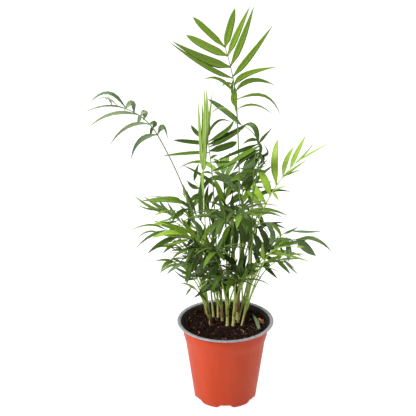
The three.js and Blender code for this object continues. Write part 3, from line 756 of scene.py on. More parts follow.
def dead_sheath(name, dark, light):
    """A dead leaf sheath: papery, brown, fibrous along its length."""
    material, tree, shader = new_finish(name, 0.75, 1.5)
    mapped, _ = mottled(
        tree, shader, linear(dark), linear(light), 600, 4, (1, 1, 0.12), 0.36, 0.62
    )
    rough_and_bump(tree, shader, mapped, 1200, 0.0003)
    return material


def leaf_skin(name, colour, roughness, bloom=0.0, gloss=0.2):
    """A palm leaflet's skin: an even green, a soft wax shine, and fine veins that run
    lengthwise. Each leaflet is dealt its own plain colour."""
    material, tree, shader = new_finish(
        name, roughness, 1.42, Sheen_Weight=bloom, Specular_IOR_Level=gloss
    )
    shader.inputs["Base Color"].default_value = rgba(colour)
    across = add_node(tree, "ShaderNodeUVMap", {"uv_map": "Leaf"})
    # About eleven veins over the width. They are 0.3 mm apart in life.
    veins = add_node(
        tree,
        "ShaderNodeTexWave",
        {"wave_type": "BANDS", "bands_direction": "X", "wave_profile": "SIN"},
        {"Scale": 3.5, "Distortion": 0.4, "Detail": 1.0},
        {"Vector": across.outputs["UV"]},
    )
    bump = add_node(
        tree,
        "ShaderNodeBump",
        values={"Distance": 0.00005, "Strength": 0.6},
        links={"Height": veins.outputs["Fac"]},
    )
    tree.links.new(bump.outputs["Normal"], shader.inputs["Normal"])
    return material


# ---------------------------------------------------------------- modelling


def begin():
    """Leaves nothing selected, so that an operator acts on the new piece alone."""
    if bpy.context.object and bpy.context.object.mode != "OBJECT":
        bpy.ops.object.mode_set(mode="OBJECT")
    bpy.ops.object.select_all(action="DESELECT")


def only(piece):
    begin()
    piece.select_set(True)
    bpy.context.view_layer.objects.active = piece


def settle_in_place():
    bpy.ops.object.transform_apply(location=True, rotation=True, scale=True)


def pulled_rings(name, rings, sides):
    """A round closed body: a disc, pulled out and widened ring by ring. A ring is its middle
    and its radius, in metres."""
    begin()
    (middle, radius), rest = rings[0], rings[1:]
    bpy.ops.mesh.primitive_circle_add(
        vertices=sides, radius=radius, fill_type="NGON", location=middle
    )
    piece = bpy.context.object
    piece.name = name
    settle_in_place()
    bpy.ops.object.mode_set(mode="EDIT")
    bpy.ops.mesh.select_all(action="SELECT")
    for to, wide in rest:
        step = Vector(to) - Vector(middle)
        bpy.ops.mesh.extrude_region_move(TRANSFORM_OT_translate={"value": step})
        grow = wide / radius
        bpy.ops.transform.resize(value=(grow, grow, 1), center_override=to)
        middle, radius = to, wide
    bpy.ops.mesh.select_all(action="SELECT")
    bpy.ops.mesh.normals_make_consistent(inside=False)
    bpy.ops.object.mode_set(mode="OBJECT")
    return piece


def add_modifier(piece, kind, **settings):
    """Adds a modifier and applies it."""
    only(piece)
    modifier = piece.modifiers.new(kind.lower(), kind)
    for key, value in settings.items():
        setattr(modifier, key, value)
    bpy.ops.object.modifier_apply(modifier=modifier.name)


def joined(name, pieces):
    only(pieces[0])
    for piece in pieces[1:]:
        piece.select_set(True)
    bpy.ops.object.join()
    pieces[0].name = name
    return pieces[0]


def smooth(piece, angle):
    only(piece)
    bpy.ops.object.shade_smooth_by_angle(angle=math.radians(angle))


def hand_in(piece, slot, *nodes):
    """Rides the piece on the plant's one body, and hides the solids that it stands for. Its slot is not
    used.
    """
    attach(piece, "root")
    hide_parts(*nodes)


class Batch:
    """Many small shapes of one kind, gathered as arrays and joined in one mesh."""

    def __init__(self):
        self.points, self.faces, self.finishes, self.places = [], [], [], []

    def add(self, points, faces, finish, places=None):
        first = len(self.points)
        self.points.extend(map(tuple, np.asarray(points) * MM))
        self.faces.extend([tuple(i + first for i in face) for face in faces])
        finish = finish if isinstance(finish, list) else [finish] * len(faces)
        self.finishes.extend(finish)
        self.places.extend(places if places is not None else [(0.5, 0.5)] * len(points))

    def piece(self, name, finishes, soft=True):
        mesh = bpy.data.meshes.new(name)
        mesh.from_pydata(self.points, [], self.faces)
        for finish in finishes:
            mesh.materials.append(finish)
        mesh.polygons.foreach_set("material_index", self.finishes)
        mesh.polygons.foreach_set("use_smooth", [soft] * len(self.faces))
        corners = np.zeros(len(mesh.loops), np.int32)
        mesh.loops.foreach_get("vertex_index", corners)
        layer = mesh.uv_layers.new(name="Leaf")
        layer.uv.foreach_set("vector", np.array(self.places, np.float32)[corners].ravel())
        mesh.validate()
        made = bpy.data.objects.new(name, mesh)
        bpy.context.scene.collection.objects.link(made)
        return made


def loft(rings):
    """Faces of a closed tube through rings of points, with both ends shut."""
    count, sides = len(rings), len(rings[0])
    faces = []
    for k in range(count - 1):
        for i in range(sides):
            j = (i + 1) % sides
            a, b = k * sides, (k + 1) * sides
            faces.append((a + i, b + i, b + j, a + j))
    faces.append(tuple(range(sides)))
    faces.append(tuple(range(count * sides - 1, (count - 1) * sides - 1, -1)))
    return np.concatenate(rings), faces


# ---------------------------------------------------------------- a leaflet's section

# Places along a leaflet, and across it from edge to edge. A section has the five points of
# its top and then three under it.
STATIONS = (0.0, 0.05, 0.13, 0.24, 0.37, 0.5, 0.63, 0.75, 0.86, 0.95, 1.0)
COLUMNS = (-1.0, -0.5, 0.0, 0.5, 1.0)
SECTION = 8
LEAF_PLACES = [(c, u) for u in STATIONS for c in (0, 0.25, 0.5, 0.75, 1, 0.75, 0.5, 0.25)]


def leaflet_width(u, blunt):
    """Share of the full width at a place along the leaflet: a narrow foot, and a long point
    or, where it is blunt, a tip that keeps its width and is cut across."""
    foot = 0.24 + 0.76 * eased(u / 0.3)
    taper = 1 - clamped((u - 0.36) / 0.64) ** blunt
    return max(foot * taper, 0.03)


def blade_ring(at, across, up, half, fold):
    """A leaflet's section: five points across its folded top and three under it."""
    sizes = bpy.context.scene.palm_leaf
    fold, pleat = fold * half, sizes.pleat * half
    thick = min(sizes.thickness / MM, half * 0.6)
    ring = [
        at + across * half * c + up * (fold * abs(c) - (pleat if abs(c) == 0.5 else 0))
        for c in COLUMNS
    ]
    ring += [
        at + across * half * c + up * (fold * abs(c) - (pleat if c else 0) - thick)
        for c in COLUMNS[3:0:-1]
    ]
    return np.array(ring)


# ---------------------------------------------------------------- pot

# The wall's outer radius at the corner over the foot and at the step under the collar, the
# corner's height, and the heights of the collar and of the lip.
WALL = dict(corner=39.5, step=50.3, corner_height=3.6, collar=27.5, lip=2.1)

# The foot's notches: their width at the ground and the share of it that they have above,
# and how far out from the pot's middle they begin and end.
NOTCHES = dict(count=6, width=26, narrows=0.46, inner=24, outer=44)

# The drain holes in the underside, and how far out they stand.
DRAINS = dict(count=8, radius=2.8, out=19)


def wall_at(z, step):
    """Outer radius of the wall between its foot and the step under the collar."""
    low = WALL["corner_height"]
    return lerp(WALL["corner"], WALL["step"], (z - low) / (step - low))


def pot_rings():
    """The pot's section in millimetres, from its hollow underside out, up, over the lip and
    down the inside, as (radius, height)."""
    sizes = bpy.context.scene.palm_pot
    high, rim, wall = sizes.height / MM, sizes.rim_radius / MM, sizes.wall / MM
    step, under_lip = high - WALL["collar"], high - WALL["lip"]
    outer = [(30, 4.9), (36.2, 4.9), (37.2, 4.4), (37.5, 3.4), (36.9, 1.6), (35.8, 0.3), (35.6, 0)]
    outer += [(36.5, 0), (37.3, 0.25), (38.5, 1.2), (39.3, 2.5), (39.6, 4)]
    outer += [(wall_at(z, step), z) for z in (8, 20, 34, 48, 62, step - 5, step - 1.2)]
    outer += [(50.4, step + 0.4), (51.0, step + 2.4), (52.0, step + 5.6), (52.95, step + 9.2)]
    outer += [(53.35, step + 11), (53.6, high - 11), (54.0, under_lip - 2.6)]
    lip = [(54.4, under_lip - 1), (55.3, under_lip - 0.2), (56.4, under_lip), (60, under_lip)]
    lip += [(rim - 0.5, under_lip + 0.15), (rim, under_lip + 0.75), (rim, high - 1.1)]
    lip += [(rim - 0.35, high - 0.4), (rim - 1.1, high), (rim - 3.5, high - 0.1)]
    lip += [(rim - 4.2, high - 0.45), (rim - 4.7, high - 1.2)]
    inner = [(53.4, under_lip - 1.2), (52.6, under_lip - 3.6), (53.3 - wall, step + 11.6)]
    inner += [(51.5 - wall, step + 4.4), (50.3 - wall, step + 0.4), (wall_at(30, step) - wall, 30)]
    inner += [(wall_at(7, step) - wall, 7), (37.3, 6.1), (20, 6.1)]
    return outer + lip + inner


def notch_cutters():
    """Wedges, wide at the ground and narrow above, that cut the foot's notches."""
    height = bpy.context.scene.palm_pot.notch_height
    middle = (NOTCHES["inner"] + NOTCHES["outer"]) / 2 * MM
    depth = (NOTCHES["outer"] - NOTCHES["inner"]) * MM
    begin()
    bpy.ops.mesh.primitive_cube_add(size=1, location=(0, -middle, (height - MM) / 2))
    first = bpy.context.object
    first.scale = (NOTCHES["width"] * MM, depth, height + MM)
    settle_in_place()
    bpy.ops.object.mode_set(mode="EDIT")
    bpy.ops.mesh.select_mode(type="FACE")
    bpy.ops.mesh.select_all(action="DESELECT")
    bpy.ops.object.mode_set(mode="OBJECT")
    for face in first.data.polygons:
        face.select = face.normal.z > 0.9
    bpy.ops.object.mode_set(mode="EDIT")
    bpy.ops.transform.resize(value=(NOTCHES["narrows"], 1, 1))
    bpy.ops.object.mode_set(mode="OBJECT")
    return copies_round(first, NOTCHES["count"])


def drain_cutters():
    """Upright rods with worn edges that drill the drain holes in the hollow underside."""
    begin()
    bpy.ops.mesh.primitive_cylinder_add(
        vertices=20, radius=DRAINS["radius"] * MM, depth=0.012, location=(DRAINS["out"] * MM, 0, 0.004)
    )
    first = bpy.context.object
    settle_in_place()
    bpy.ops.object.mode_set(mode="EDIT")
    bpy.ops.mesh.select_all(action="SELECT")
    bpy.ops.mesh.bevel(offset=0.0004, segments=1, affect="EDGES")
    bpy.ops.object.mode_set(mode="OBJECT")
    return copies_round(first, DRAINS["count"])


def copies_round(first, count):
    """The cutter and its copies, spaced evenly round the pot and joined in one."""
    copies = [first]
    for k in range(1, count):
        copy = first.copy()
        copy.data = first.data.copy()
        copy.data.transform(Matrix.Rotation(math.radians(360 / count * k), 4, "Z"))
        bpy.context.scene.collection.objects.link(copy)
        copies.append(copy)
    return joined("cutters", copies)


def cut_away(piece, cutters):
    add_modifier(piece, "BOOLEAN", object=cutters, operation="DIFFERENCE", solver="EXACT")
    bpy.data.objects.remove(cutters)


def finish_pot(pot):
    """Deals the three finishes to the faces: outside, lip, and inside."""
    sizes = bpy.context.scene.palm_pot
    pot.data.materials.clear()
    for finish in (thermoformed_terracotta(), scuffed_grey_lip(), near_black_inside()):
        pot.data.materials.append(finish)
    outside, lip, inside = range(3)
    under_lip, over_lip = sizes.height - 2.0 * MM, sizes.height - 0.9 * MM
    for face in pot.data.polygons:
        middle = face.center
        r, z = math.hypot(middle.x, middle.y), middle.z
        outward = face.normal.x * middle.x + face.normal.y * middle.y
        on_floor = face.normal.z > 0.9 and z < 7.5 * MM
        if r > 55.6 * MM and z > under_lip:
            face.material_index = lip
        elif z > 5.5 * MM and (outward < -1e-4 * r or on_floor):
            face.material_index = lip if z > over_lip else inside
        else:
            face.material_index = outside


class PALM_OT_pot(bpy.types.Operator):
    """Draw the nursery pot with its rolled lip, stepped collar and notched foot"""

    bl_idname = "palm.pot"
    bl_label = "Pot"

    def execute(self, context):
        sizes = context.scene.palm_pot
        rings = [((0, 0, z * MM), r * MM) for r, z in pot_rings()]
        pot = pulled_rings("nursery_pot", rings, sizes.sides)
        cut_away(pot, notch_cutters())
        cut_away(pot, drain_cutters())
        add_modifier(
            pot, "BEVEL", width=0.0004, segments=2, limit_method="ANGLE", angle_limit=math.radians(38)
        )
        smooth(pot, 40)
        finish_pot(pot)
        hand_in(pot, "pot", "pot")
        return {"FINISHED"}


# ---------------------------------------------------------------- compost


def compost_rings():
    """The compost's section in millimetres, from its underside up the wall and over its top."""
    edge, shoulder = SOIL["edge_radius"], SOIL["shoulder"]
    side = [(37.0, 6.4), (48.2, 79.2), (50.4, 90.6), (52.0, 100.3), (edge - 0.1, SOIL["edge"] - 0.3)]
    top = []
    r = edge - 0.3
    while r > 0.6:
        bank = eased((r - shoulder + 2) / (edge - shoulder + 2))
        top.append((r, lerp(SOIL["top"], SOIL["edge"], bank)))
        r -= 1.25
    return side + top


def crumbly(piece, name, scale, depth, detail):
    """Presses a grain of that size into the piece's top."""
    texture = bpy.data.textures.new(name, "CLOUDS")
    texture.noise_scale, texture.noise_depth = scale, detail
    add_modifier(
        piece,
        "DISPLACE",
        texture=texture,
        strength=depth,
        mid_level=0.5,
        direction="Z",
        vertex_group="top",
        texture_coords="LOCAL",
    )
    bpy.data.textures.remove(texture)


def icosahedron():
    phi = (1 + 5**0.5) / 2
    points = [(-1, phi, 0), (1, phi, 0), (-1, -phi, 0), (1, -phi, 0)]
    points += [(0, -1, phi), (0, 1, phi), (0, -1, -phi), (0, 1, -phi)]
    points += [(phi, 0, -1), (phi, 0, 1), (-phi, 0, -1), (-phi, 0, 1)]
    faces = [(0, 11, 5), (0, 5, 1), (0, 1, 7), (0, 7, 10), (0, 10, 11), (1, 5, 9), (5, 11, 4)]
    faces += [(11, 10, 2), (10, 7, 6), (7, 1, 8), (3, 9, 4), (3, 4, 2), (3, 2, 6), (3, 6, 8)]
    faces += [(3, 8, 9), (4, 9, 5), (2, 4, 11), (6, 2, 10), (8, 6, 7), (9, 8, 1)]
    return np.array(points) / math.hypot(1, phi), faces


def spot_on(ground, dice, reach):
    """A place on the compost's top in millimetres, chosen evenly, with its height."""
    r = reach * math.sqrt(dice.random())
    a = dice.random() * 2 * math.pi
    return on_ground(ground, r * math.cos(a), r * math.sin(a))


def on_ground(ground, x, y):
    hit, place, _, _ = ground.ray_cast(Vector((x, y, 130)) * MM, Vector((0, 0, -1)))
    if not hit:
        raise RuntimeError("a crumb has no compost under it")
    return np.array(place) / MM


def loose_turn(dice):
    """A turn to any side, as rows of a matrix."""
    angles = [dice.uniform(0, 2 * math.pi) for _ in range(3)]
    x, y, z = (Matrix.Rotation(a, 3, axis) for a, axis in zip(angles, "XYZ"))
    return np.array(x @ y @ z)


# What lies on the compost: the seed of its places, and how far from the pot's middle the
# crumbs, the fibres and the small chips lie.
LITTER = dict(seed=7, crumbs=52.4, fibres=49, chips=45)


def add_crumbs(batch, ground, dice, count):
    """Crumbs of peat, each a lump of twenty faces, many small and a few large."""
    points, faces = icosahedron()
    for _ in range(count):
        size = 0.45 + 1.5 * dice.random() ** 3
        lump = points * np.array([size, size * dice.uniform(0.6, 0.9), size * dice.uniform(0.5, 0.8)])
        lump = lump * np.array([[dice.uniform(0.75, 1.2)] for _ in points])
        spot = spot_on(ground, dice, LITTER["crumbs"] - size)
        spot[2] += size * dice.uniform(-0.1, 0.4)
        kind = dice.choices((0, 1, 2, 3), (62, 31, 6, 1))[0]
        batch.add(lump @ loose_turn(dice).T + spot, faces, kind)


def add_fibres(batch, ground, dice, count):
    """Coir fibres and splinters: thin, three-sided and bent."""
    for _ in range(count):
        length, thick = dice.uniform(2.5, 9), dice.uniform(0.12, 0.34)
        heading, rise, bend = dice.uniform(0, 360), dice.uniform(-8, 26), dice.uniform(-50, 50)
        point = spot_on(ground, dice, LITTER["fibres"])
        point[2] += 0.3
        rings = []
        for k in range(5):
            way = direction(90 - rise * (1 - k / 2), heading + bend * k / 4)
            side = unit(np.cross(way, [0, 0, 1]))
            up = np.cross(side, way)
            radius = thick * (1.0, 1.1, 1.0, 0.8, 0.35)[k]
            rings.append([
                point + radius * (side * math.cos(a) + up * math.sin(a))
                for a in (0.0, 2.09, 4.19)
            ])
            point = point + way * length / 4
        if math.hypot(point[0], point[1]) < 50 and point[2] < 106:
            batch.add(*loft([np.array(r) for r in rings]), dice.choice((0, 1, 1, 2, 2, 3)))


def add_chip(batch, middle, size, turn, finish, dice):
    """A chip of bark or wood: a flat block with worn, uneven ends."""
    rings = []
    for k, (x, wide) in enumerate(((-1, 0.45), (-0.7, 0.9), (-0.1, 1.0), (0.5, 0.85), (1, 0.35))):
        ring = []
        for y, z in ((-1, -0.4), (-0.5, -1), (0.6, -0.9), (1, -0.2), (0.7, 0.8), (-0.6, 1)):
            knock = 1 + 0.22 * dice.uniform(-1, 1)
            ring.append((x * size[0] + 0.2 * k * y, y * size[1] * wide * knock, z * size[2] * wide * knock))
        rings.append(np.array(ring) @ np.array(turn.to_3x3()).T + middle)
    batch.add(*loft(rings), finish)


# The two chips that show: where each lies, how high its middle is over the compost, half its
# length, width and thickness, and its finish.
LARGE_CHIPS = (
    (45.5, 8, 1.6, (5.6, 3.0, 1.6), 4),
    (48.0, 1, 1.0, (3.0, 1.6, 1.1), 3),
)


def add_chips(batch, ground, dice, count):
    """Small chips anywhere on the compost, and the two large ones."""
    for _ in range(count):
        spot = spot_on(ground, dice, LITTER["chips"])
        size = [dice.uniform(0.9, 2.1), dice.uniform(0.5, 1.1), dice.uniform(0.25, 0.5)]
        heading, tilt = dice.uniform(0, 6.3), dice.uniform(-0.5, 0.5)
        turn = Matrix.Rotation(heading, 4, "Z") @ Matrix.Rotation(tilt, 4, "Y")
        add_chip(batch, spot + np.array([0, 0, size[2]]), size, turn, dice.choice((2, 3, 4)), dice)
    turn = Matrix.Rotation(math.radians(-34), 4, "Z") @ Matrix.Rotation(0.5, 4, "Y")
    for x, y, raised, size, finish in LARGE_CHIPS:
        add_chip(batch, on_ground(ground, x, y) + [0, 0, raised], size, turn, finish, dice)


# The fallen leaflet: its ends, how far its middle is arched from the line between them, the
# lean and heading that its face turns to, its half width, its fold, and how blunt its tip is.
FALLEN = dict(
    foot=(44.6, -16.5, 97.0), tip=(34.6, 14.0, 108.5), arch=(0.8, 0.3, 1.6), faces=(105, 75),
    half=2.6, fold=0.5, blunt=1.6
)


def add_fallen_leaflet(batch, finish):
    """A wilted leaflet that has dropped, with its foot in the compost and its tip raised."""
    foot, tip, arch = (np.array(FALLEN[key]) for key in ("foot", "tip", "arch"))
    way = unit(tip - foot)
    across = unit(np.cross(way, direction(*FALLEN["faces"])))
    rings = []
    for u in STATIONS:
        at = lerp(foot, tip, u) + arch * math.sin(math.pi * u)
        half = FALLEN["half"] * leaflet_width(u, FALLEN["blunt"])
        rings.append(blade_ring(at, across, np.cross(way, across), half, FALLEN["fold"]))
    batch.add(*loft(rings), finish, LEAF_PLACES)


class PALM_OT_compost(bpy.types.Operator):
    """Fill the pot with crumbly compost, with its crumbs, fibres and chips on top"""

    bl_idname = "palm.compost"
    bl_label = "Compost"

    def execute(self, context):
        sizes = context.scene.palm_compost
        rings = [((0, 0, z * MM), r * MM) for r, z in compost_rings()]
        compost = pulled_rings("compost", rings, 128)
        top = compost.vertex_groups.new(name="top")
        for vertex in compost.data.vertices:
            r = math.hypot(vertex.co.x, vertex.co.y) / MM
            if vertex.co.z / MM > SOIL["top"] - 0.5 and r < SOIL["edge_radius"] - 0.2:
                inward = (SOIL["edge_radius"] - r) / 3
                top.add([vertex.index], clamped(inward), "REPLACE")
        crumbly(compost, "clods", 0.009, sizes.relief, 1)
        crumbly(compost, "crumbs", 0.0026, sizes.relief * 0.7, 3)
        smooth(compost, 60)
        compost.data.materials.clear()
        compost.data.materials.append(peat_compost("damp_peat_compost", 0.6))
        hand_in(compost, "compost", "soil")

        dice = random.Random(LITTER["seed"])
        litter = Batch()
        add_crumbs(litter, compost, dice, sizes.crumbs)
        add_fibres(litter, compost, dice, sizes.fibres)
        add_chips(litter, compost, dice, sizes.chips)
        add_fallen_leaflet(litter, 5)
        finishes = [
            peat_compost("dark_peat_crumb", 0.6),
            peat_compost("brown_peat_crumb", 1.2),
            dry_wood("reddish_coir", 0x6E4030),
            dry_wood("pinkish_wood_fibre", 0x8E6354),
            dry_wood("tan_bark_chip", 0xB07C44),
            leaf_skin("wilted_leaflet", linear(0x5E7052), 0.6),
        ]
        hand_in(litter.piece("compost_litter", finishes, soft=False), "compost")
        return {"FINISHED"}


# ---------------------------------------------------------------- canes


# The heights on every cane at which fronds were shed, in millimetres over its foot.
SHED = {6, 13, 21}


def cane_rings(cane):
    """The cane's rings: a flare sunk in the compost, and a raised scar where each leaf sits."""
    scars = sorted({f["at"] for f in cane["fronds"] if f["at"]} | SHED)
    # Places along the cane, and its width there as a share of its own.
    places = {-3.5: 1.0, 0.0: 1.0, 1.5: 1.0, 3.0: 1.0}
    for at in scars:
        sheath = 1.16 if at > 24 else 1.07
        places.update({at - 7: 1.0, at - 1.2: sheath, at - 0.4: sheath + 0.03})
        places.update({at + 0.1: 0.97, at + 0.9: 1.0})
    places.update({cane["height"] - 9: 1.0, cane["height"] - 1: 1.12, cane["height"] + 0.5: 1.08})
    rings = []
    for along in sorted(places):
        radius = cane_radius(cane, max(along, 0)) * places[along]
        rings.append((Vector(cane_point(cane, along)) * MM, radius * MM))
    return rings


class PALM_OT_canes(bpy.types.Operator):
    """Raise the twelve ringed canes out of the compost"""

    bl_idname = "palm.canes"
    bl_label = "Canes"

    def execute(self, context):
        canes = [pulled_rings(f"cane_{c['name']}", cane_rings(c), 14) for c in CLUMP]
        names = [f"cane_{c['name']}" for c in CLUMP]
        canes = joined("canes", canes)
        smooth(canes, 50)
        colour = context.scene.palm_colours.cane
        canes.data.materials.clear()
        canes.data.materials.append(
            palm_cane_skin("waxy_green_cane", colour, linear(0xB2AE6C), 0.096, 0.135)
        )
        hand_in(canes, "cane", *names)
        return {"FINISHED"}


def sheath_rings(cane, start, length, heading, spread):
    """A dead sheath's sections: a thin shell round part of its cane, torn to a point above."""
    rings = []
    for k in range(9):
        u = k / 8
        along = start + length * u
        middle = cane_point(cane, along)
        radius = cane_radius(cane, max(along, 0)) * 1.16 + 0.25 + 0.5 * u * u
        reach = spread * (1 - 0.75 * u**2) * (1 + 0.12 * math.sin(7 * u + spread))
        ring = []
        for side, shell in ((-1, 0.3), (1, 0)):
            for a in np.linspace(side * reach, -side * reach, 7):
                way = direction(90, heading + a + 14 * u)
                ring.append(middle + way * (radius + shell + 0.12 * math.sin(a / 9)))
        rings.append(np.array(ring))
    return rings


# Dead sheaths: the cane, where it starts and how long it is, to which side it stands and
# how far round the cane it goes, in degrees either way.
SHEATHS = [
    ("a", -2, 15, -40, 75),
    ("a", 14, 16, -150, 70),
    ("c", -2, 9, -20, 70),
    ("d", 6, 14, -110, 75),
    ("f", -2, 8, -30, 60),
    ("g", 12, 36, -110, 95),
    ("i", -2, 10, -40, 70),
    ("j", 2, 30, 80, 110),
    ("l", 0, 22, 150, 110),
    ("k", 4, 20, 40, 100),
]


class PALM_OT_sheaths(bpy.types.Operator):
    """Wrap the dead, papery sheaths of shed fronds round the canes"""

    bl_idname = "palm.sheaths"
    bl_label = "Dead sheaths"

    def execute(self, context):
        canes = {cane["name"]: cane for cane in CLUMP}
        batch = Batch()
        for k, (name, *place) in enumerate(SHEATHS):
            batch.add(*loft(sheath_rings(canes[name], *place)), k % 2)
        finishes = [
            dead_sheath("reddish_papery_sheath", 0x3A2014, 0x7C5232),
            dead_sheath("straw_papery_sheath", 0x5A3C22, 0x9C7C4C),
        ]
        hand_in(batch.piece("dead_sheaths", finishes), "cane")
        return {"FINISHED"}


# ---------------------------------------------------------------- stalks and ribs


def stalk_start(frond):
    """Points that lead a stalk out of its cane, before its own first point."""
    cane = frond["cane"]
    first = frond["path"][0][0]
    if frond["at"] is None:
        return [cane_point(cane, cane["height"] - d) for d in (4, 1.5)]
    inside = cane_point(cane, frond["at"] - 9)
    return [lerp(inside, first + (inside - cane_point(cane, frond["at"])), 0.35),
            lerp(cane_point(cane, frond["at"] - 4), first, 0.55)]


def stalk_ring(point, along, side, radius):
    """A stalk's section: round, with a shallow channel along its upper face."""
    face = np.cross(along, side)
    ring = []
    for k in range(8):
        a = k * math.pi / 4
        reach = radius * (1 - 0.3 * max(0.0, math.sin(a)) ** 4)
        ring.append(point + reach * (side * math.cos(a) + face * math.sin(a)))
    return np.array(ring)


def stalk_rings(frond):
    stalk, total = frond["stalk"], frond["stalk"] + frond["blade"]
    rings = []
    _, along, side, _ = rib_frame(frond, 0)
    foot = rib_radius(frond, 0)
    for k, point in enumerate(stalk_start(frond)):
        rings.append(stalk_ring(point, along, side, foot * (0.9, 1.12)[k]))
    s = 0.0
    while s < total:
        point, along, side, _ = rib_frame(frond, s)
        swell = 1 + 0.16 * math.exp(-s / 9)
        rings.append(stalk_ring(point, along, side, rib_radius(frond, s) * swell))
        s += 6 if s < stalk else 4
    point, along, side, _ = rib_frame(frond, total)
    rings.append(stalk_ring(point, along, side, TIP_RADIUS * 0.8))
    rings.append(stalk_ring(point + along * POINT, along, side, 0.12))
    return rings


class PALM_OT_stalks(bpy.types.Operator):
    """Grow each frond's channelled stalk and its rib"""

    bl_idname = "palm.stalks"
    bl_label = "Stalks and ribs"

    def execute(self, context):
        batch = Batch()
        finish = {"dark": 0, "mid": 0, "grey": 1, "bright": 2}
        for frond in all_fronds():
            batch.add(*loft(stalk_rings(frond)), finish[frond["tone"]])
        colour = context.scene.palm_colours.cane
        green = blend(colour, linear(0x41601F), 0.75)
        finishes = [
            palm_cane_skin("green_leaf_stalk", green, shade(colour, 1.1), 0.13, 0.24),
            palm_cane_skin("greyish_leaf_stalk", linear(0x626F44), colour, 0.13, 0.24),
            palm_cane_skin("young_leaf_stalk", linear(0x9DBB52), colour, 0.13, 0.2),
        ]
        hand_in(batch.piece("stalks", finishes), "cane")
        return {"FINISHED"}


# ---------------------------------------------------------------- leaflets


def mark_of(point):
    """Where a point stands in the view, in pixels from its left and top."""
    x, y, z = np.array(point) - EYE
    down = math.radians(LOOKS_DOWN)
    ahead = y * math.cos(down) - z * math.sin(down)
    up = y * math.sin(down) + z * math.cos(down)
    return np.array([MIDDLE + FOCAL * x / ahead, MIDDLE - FOCAL * up / ahead])


def sight(mark):
    """The way from the eye through a mark, with a step of one along y."""
    right, up = (mark[0] - MIDDLE) / FOCAL, (MIDDLE - mark[1]) / FOCAL
    down = math.radians(LOOKS_DOWN)
    way = np.array(
        [right, math.cos(down) + up * math.sin(down), up * math.cos(down) - math.sin(down)]
    )
    return way / way[1]


def seen_at(mark, y):
    return np.array(EYE) + sight(mark) * (y - EYE[1])


# How nearly edge-on the frond's plane is still followed, and how much farther or nearer than
# its root a marked leaflet's tip may be, as a share of the way between them.
LEAST_TILT, MOST_DEPTH = 0.05, 0.45


def marked_line(frond, leaf):
    """The centre line of a marked leaflet: it keeps to the frond's own plane where that
    doesn't take it far from its root, and "push" moves its tip away along its sight."""
    root, _, _, face = rib_frame(frond, frond["stalk"] + frond["blade"] * leaf["t"])
    flat = seen_at(leaf["tip"], root[1])
    way = sight(leaf["tip"])
    tilt = np.dot(way, face)
    if tilt > 0:
        face, tilt = -face, -tilt
    depth = np.dot(root - flat, face) / min(tilt, -LEAST_TILT)
    most = MOST_DEPTH * np.linalg.norm(flat - root)
    depth = min(max(depth, -most), most) + leaf["push"]
    tip = flat + way * depth
    bend = seen_at(leaf["bend"], root[1] + depth / 2)
    knee = 2 * bend - (root + tip) / 2
    line = []
    for u in STATIONS:
        at = root * (1 - u) ** 2 + knee * 2 * u * (1 - u) + tip * u * u
        line.append((at, unit((knee - root) * (1 - u) + (tip - knee) * u)))
    return line, unit(face - leaf["faces"] * way / np.linalg.norm(way))


def ruled_line(frond, leaf):
    """The centre line of a leaflet that is given by its rib: it leaves at its angle, hangs by
    its weight and sweeps towards the frond's tip."""
    point, along, side, face = rib_frame(frond, frond["stalk"] + frond["blade"] * leaf["t"])
    angle, row = math.radians(leaf["angle"]), leaf["row"]
    out = unit(along * math.cos(angle) + side * row * math.sin(angle) + face * RISE)
    at = point + side * row * ROOT
    drop, sweep = np.array([0, 0, -leaf["hang"]]), along * leaf["sweep"]
    line, previous = [], 0.0
    for u in STATIONS:
        middle = (u + previous) / 2
        way = unit(out + drop * middle + sweep * middle**2)
        at = at + way * (u - previous) * leaf["length"]
        previous = u
        line.append((at, unit(out + drop * u + sweep * u * u)))
    return line, face


def leaflet_rings(frond, leaf):
    """The leaflet's sections, from its root to its tip."""
    sizes = bpy.context.scene.palm_leaf
    line, face = (marked_line if "tip" in leaf else ruled_line)(frond, leaf)
    rings = []
    for u, (at, here) in zip(STATIONS, line):
        across = turned(unit(np.cross(face, here)), here, leaf["twist"] * u)
        up = np.cross(here, across)
        half = leaf["width"] * leaflet_width(u, leaf["blunt"]) / 2
        rings.append(blade_ring(at, across, up, half, sizes.fold * (1 - 0.5 * u)))
    return rings


def leaf_tree(rings):
    """The leaflet's top as a search tree, and its box."""
    top = np.array([ring[:5] for ring in rings])
    count = len(rings)
    faces = [
        (5 * k + i, 5 * k + i + 1, 5 * k + i + 6, 5 * k + i + 5)
        for k in range(1, count - 1)
        for i in range(4)
    ]
    flat = top.reshape(-1, 3)
    return BVHTree.FromPolygons(flat.tolist(), faces), flat[5:].min(0), flat[5:].max(0)


def limb_tree(rings):
    points, faces = loft(rings)
    return BVHTree.FromPolygons(points.tolist(), faces), points.min(0), points.max(0)


def meets(tree, low, high, others):
    """Does it touch one of the others? Boxes that are apart are passed over."""
    for other, least, most in others:
        if (low < most).all() and (high > least).all() and tree.overlap(other):
            return True
    return False


def limb_trees(fronds):
    """The canes, and each frond's rib with a small margin."""
    canes = []
    for cane in CLUMP:
        rings = []
        for s in range(0, cane["height"] + 1, 6):
            ways = direction(90, 0), direction(90, 90)
            radius = cane_radius(cane, s) + 0.2
            ring = [
                cane_point(cane, s) + radius * (ways[0] * math.cos(a) + ways[1] * math.sin(a))
                for a in np.arange(8) * math.pi / 4
            ]
            rings.append(np.array(ring))
        canes.append(limb_tree(rings))
    ribs = {}
    for frond in fronds:
        rings = [
            stalk_ring(*rib_frame(frond, s)[:3], rib_radius(frond, s) + 0.25)
            for s in np.linspace(0, frond["stalk"] + frond["blade"], 24)
        ]
        ribs[frond["name"]] = limb_tree(rings)
    return canes, ribs


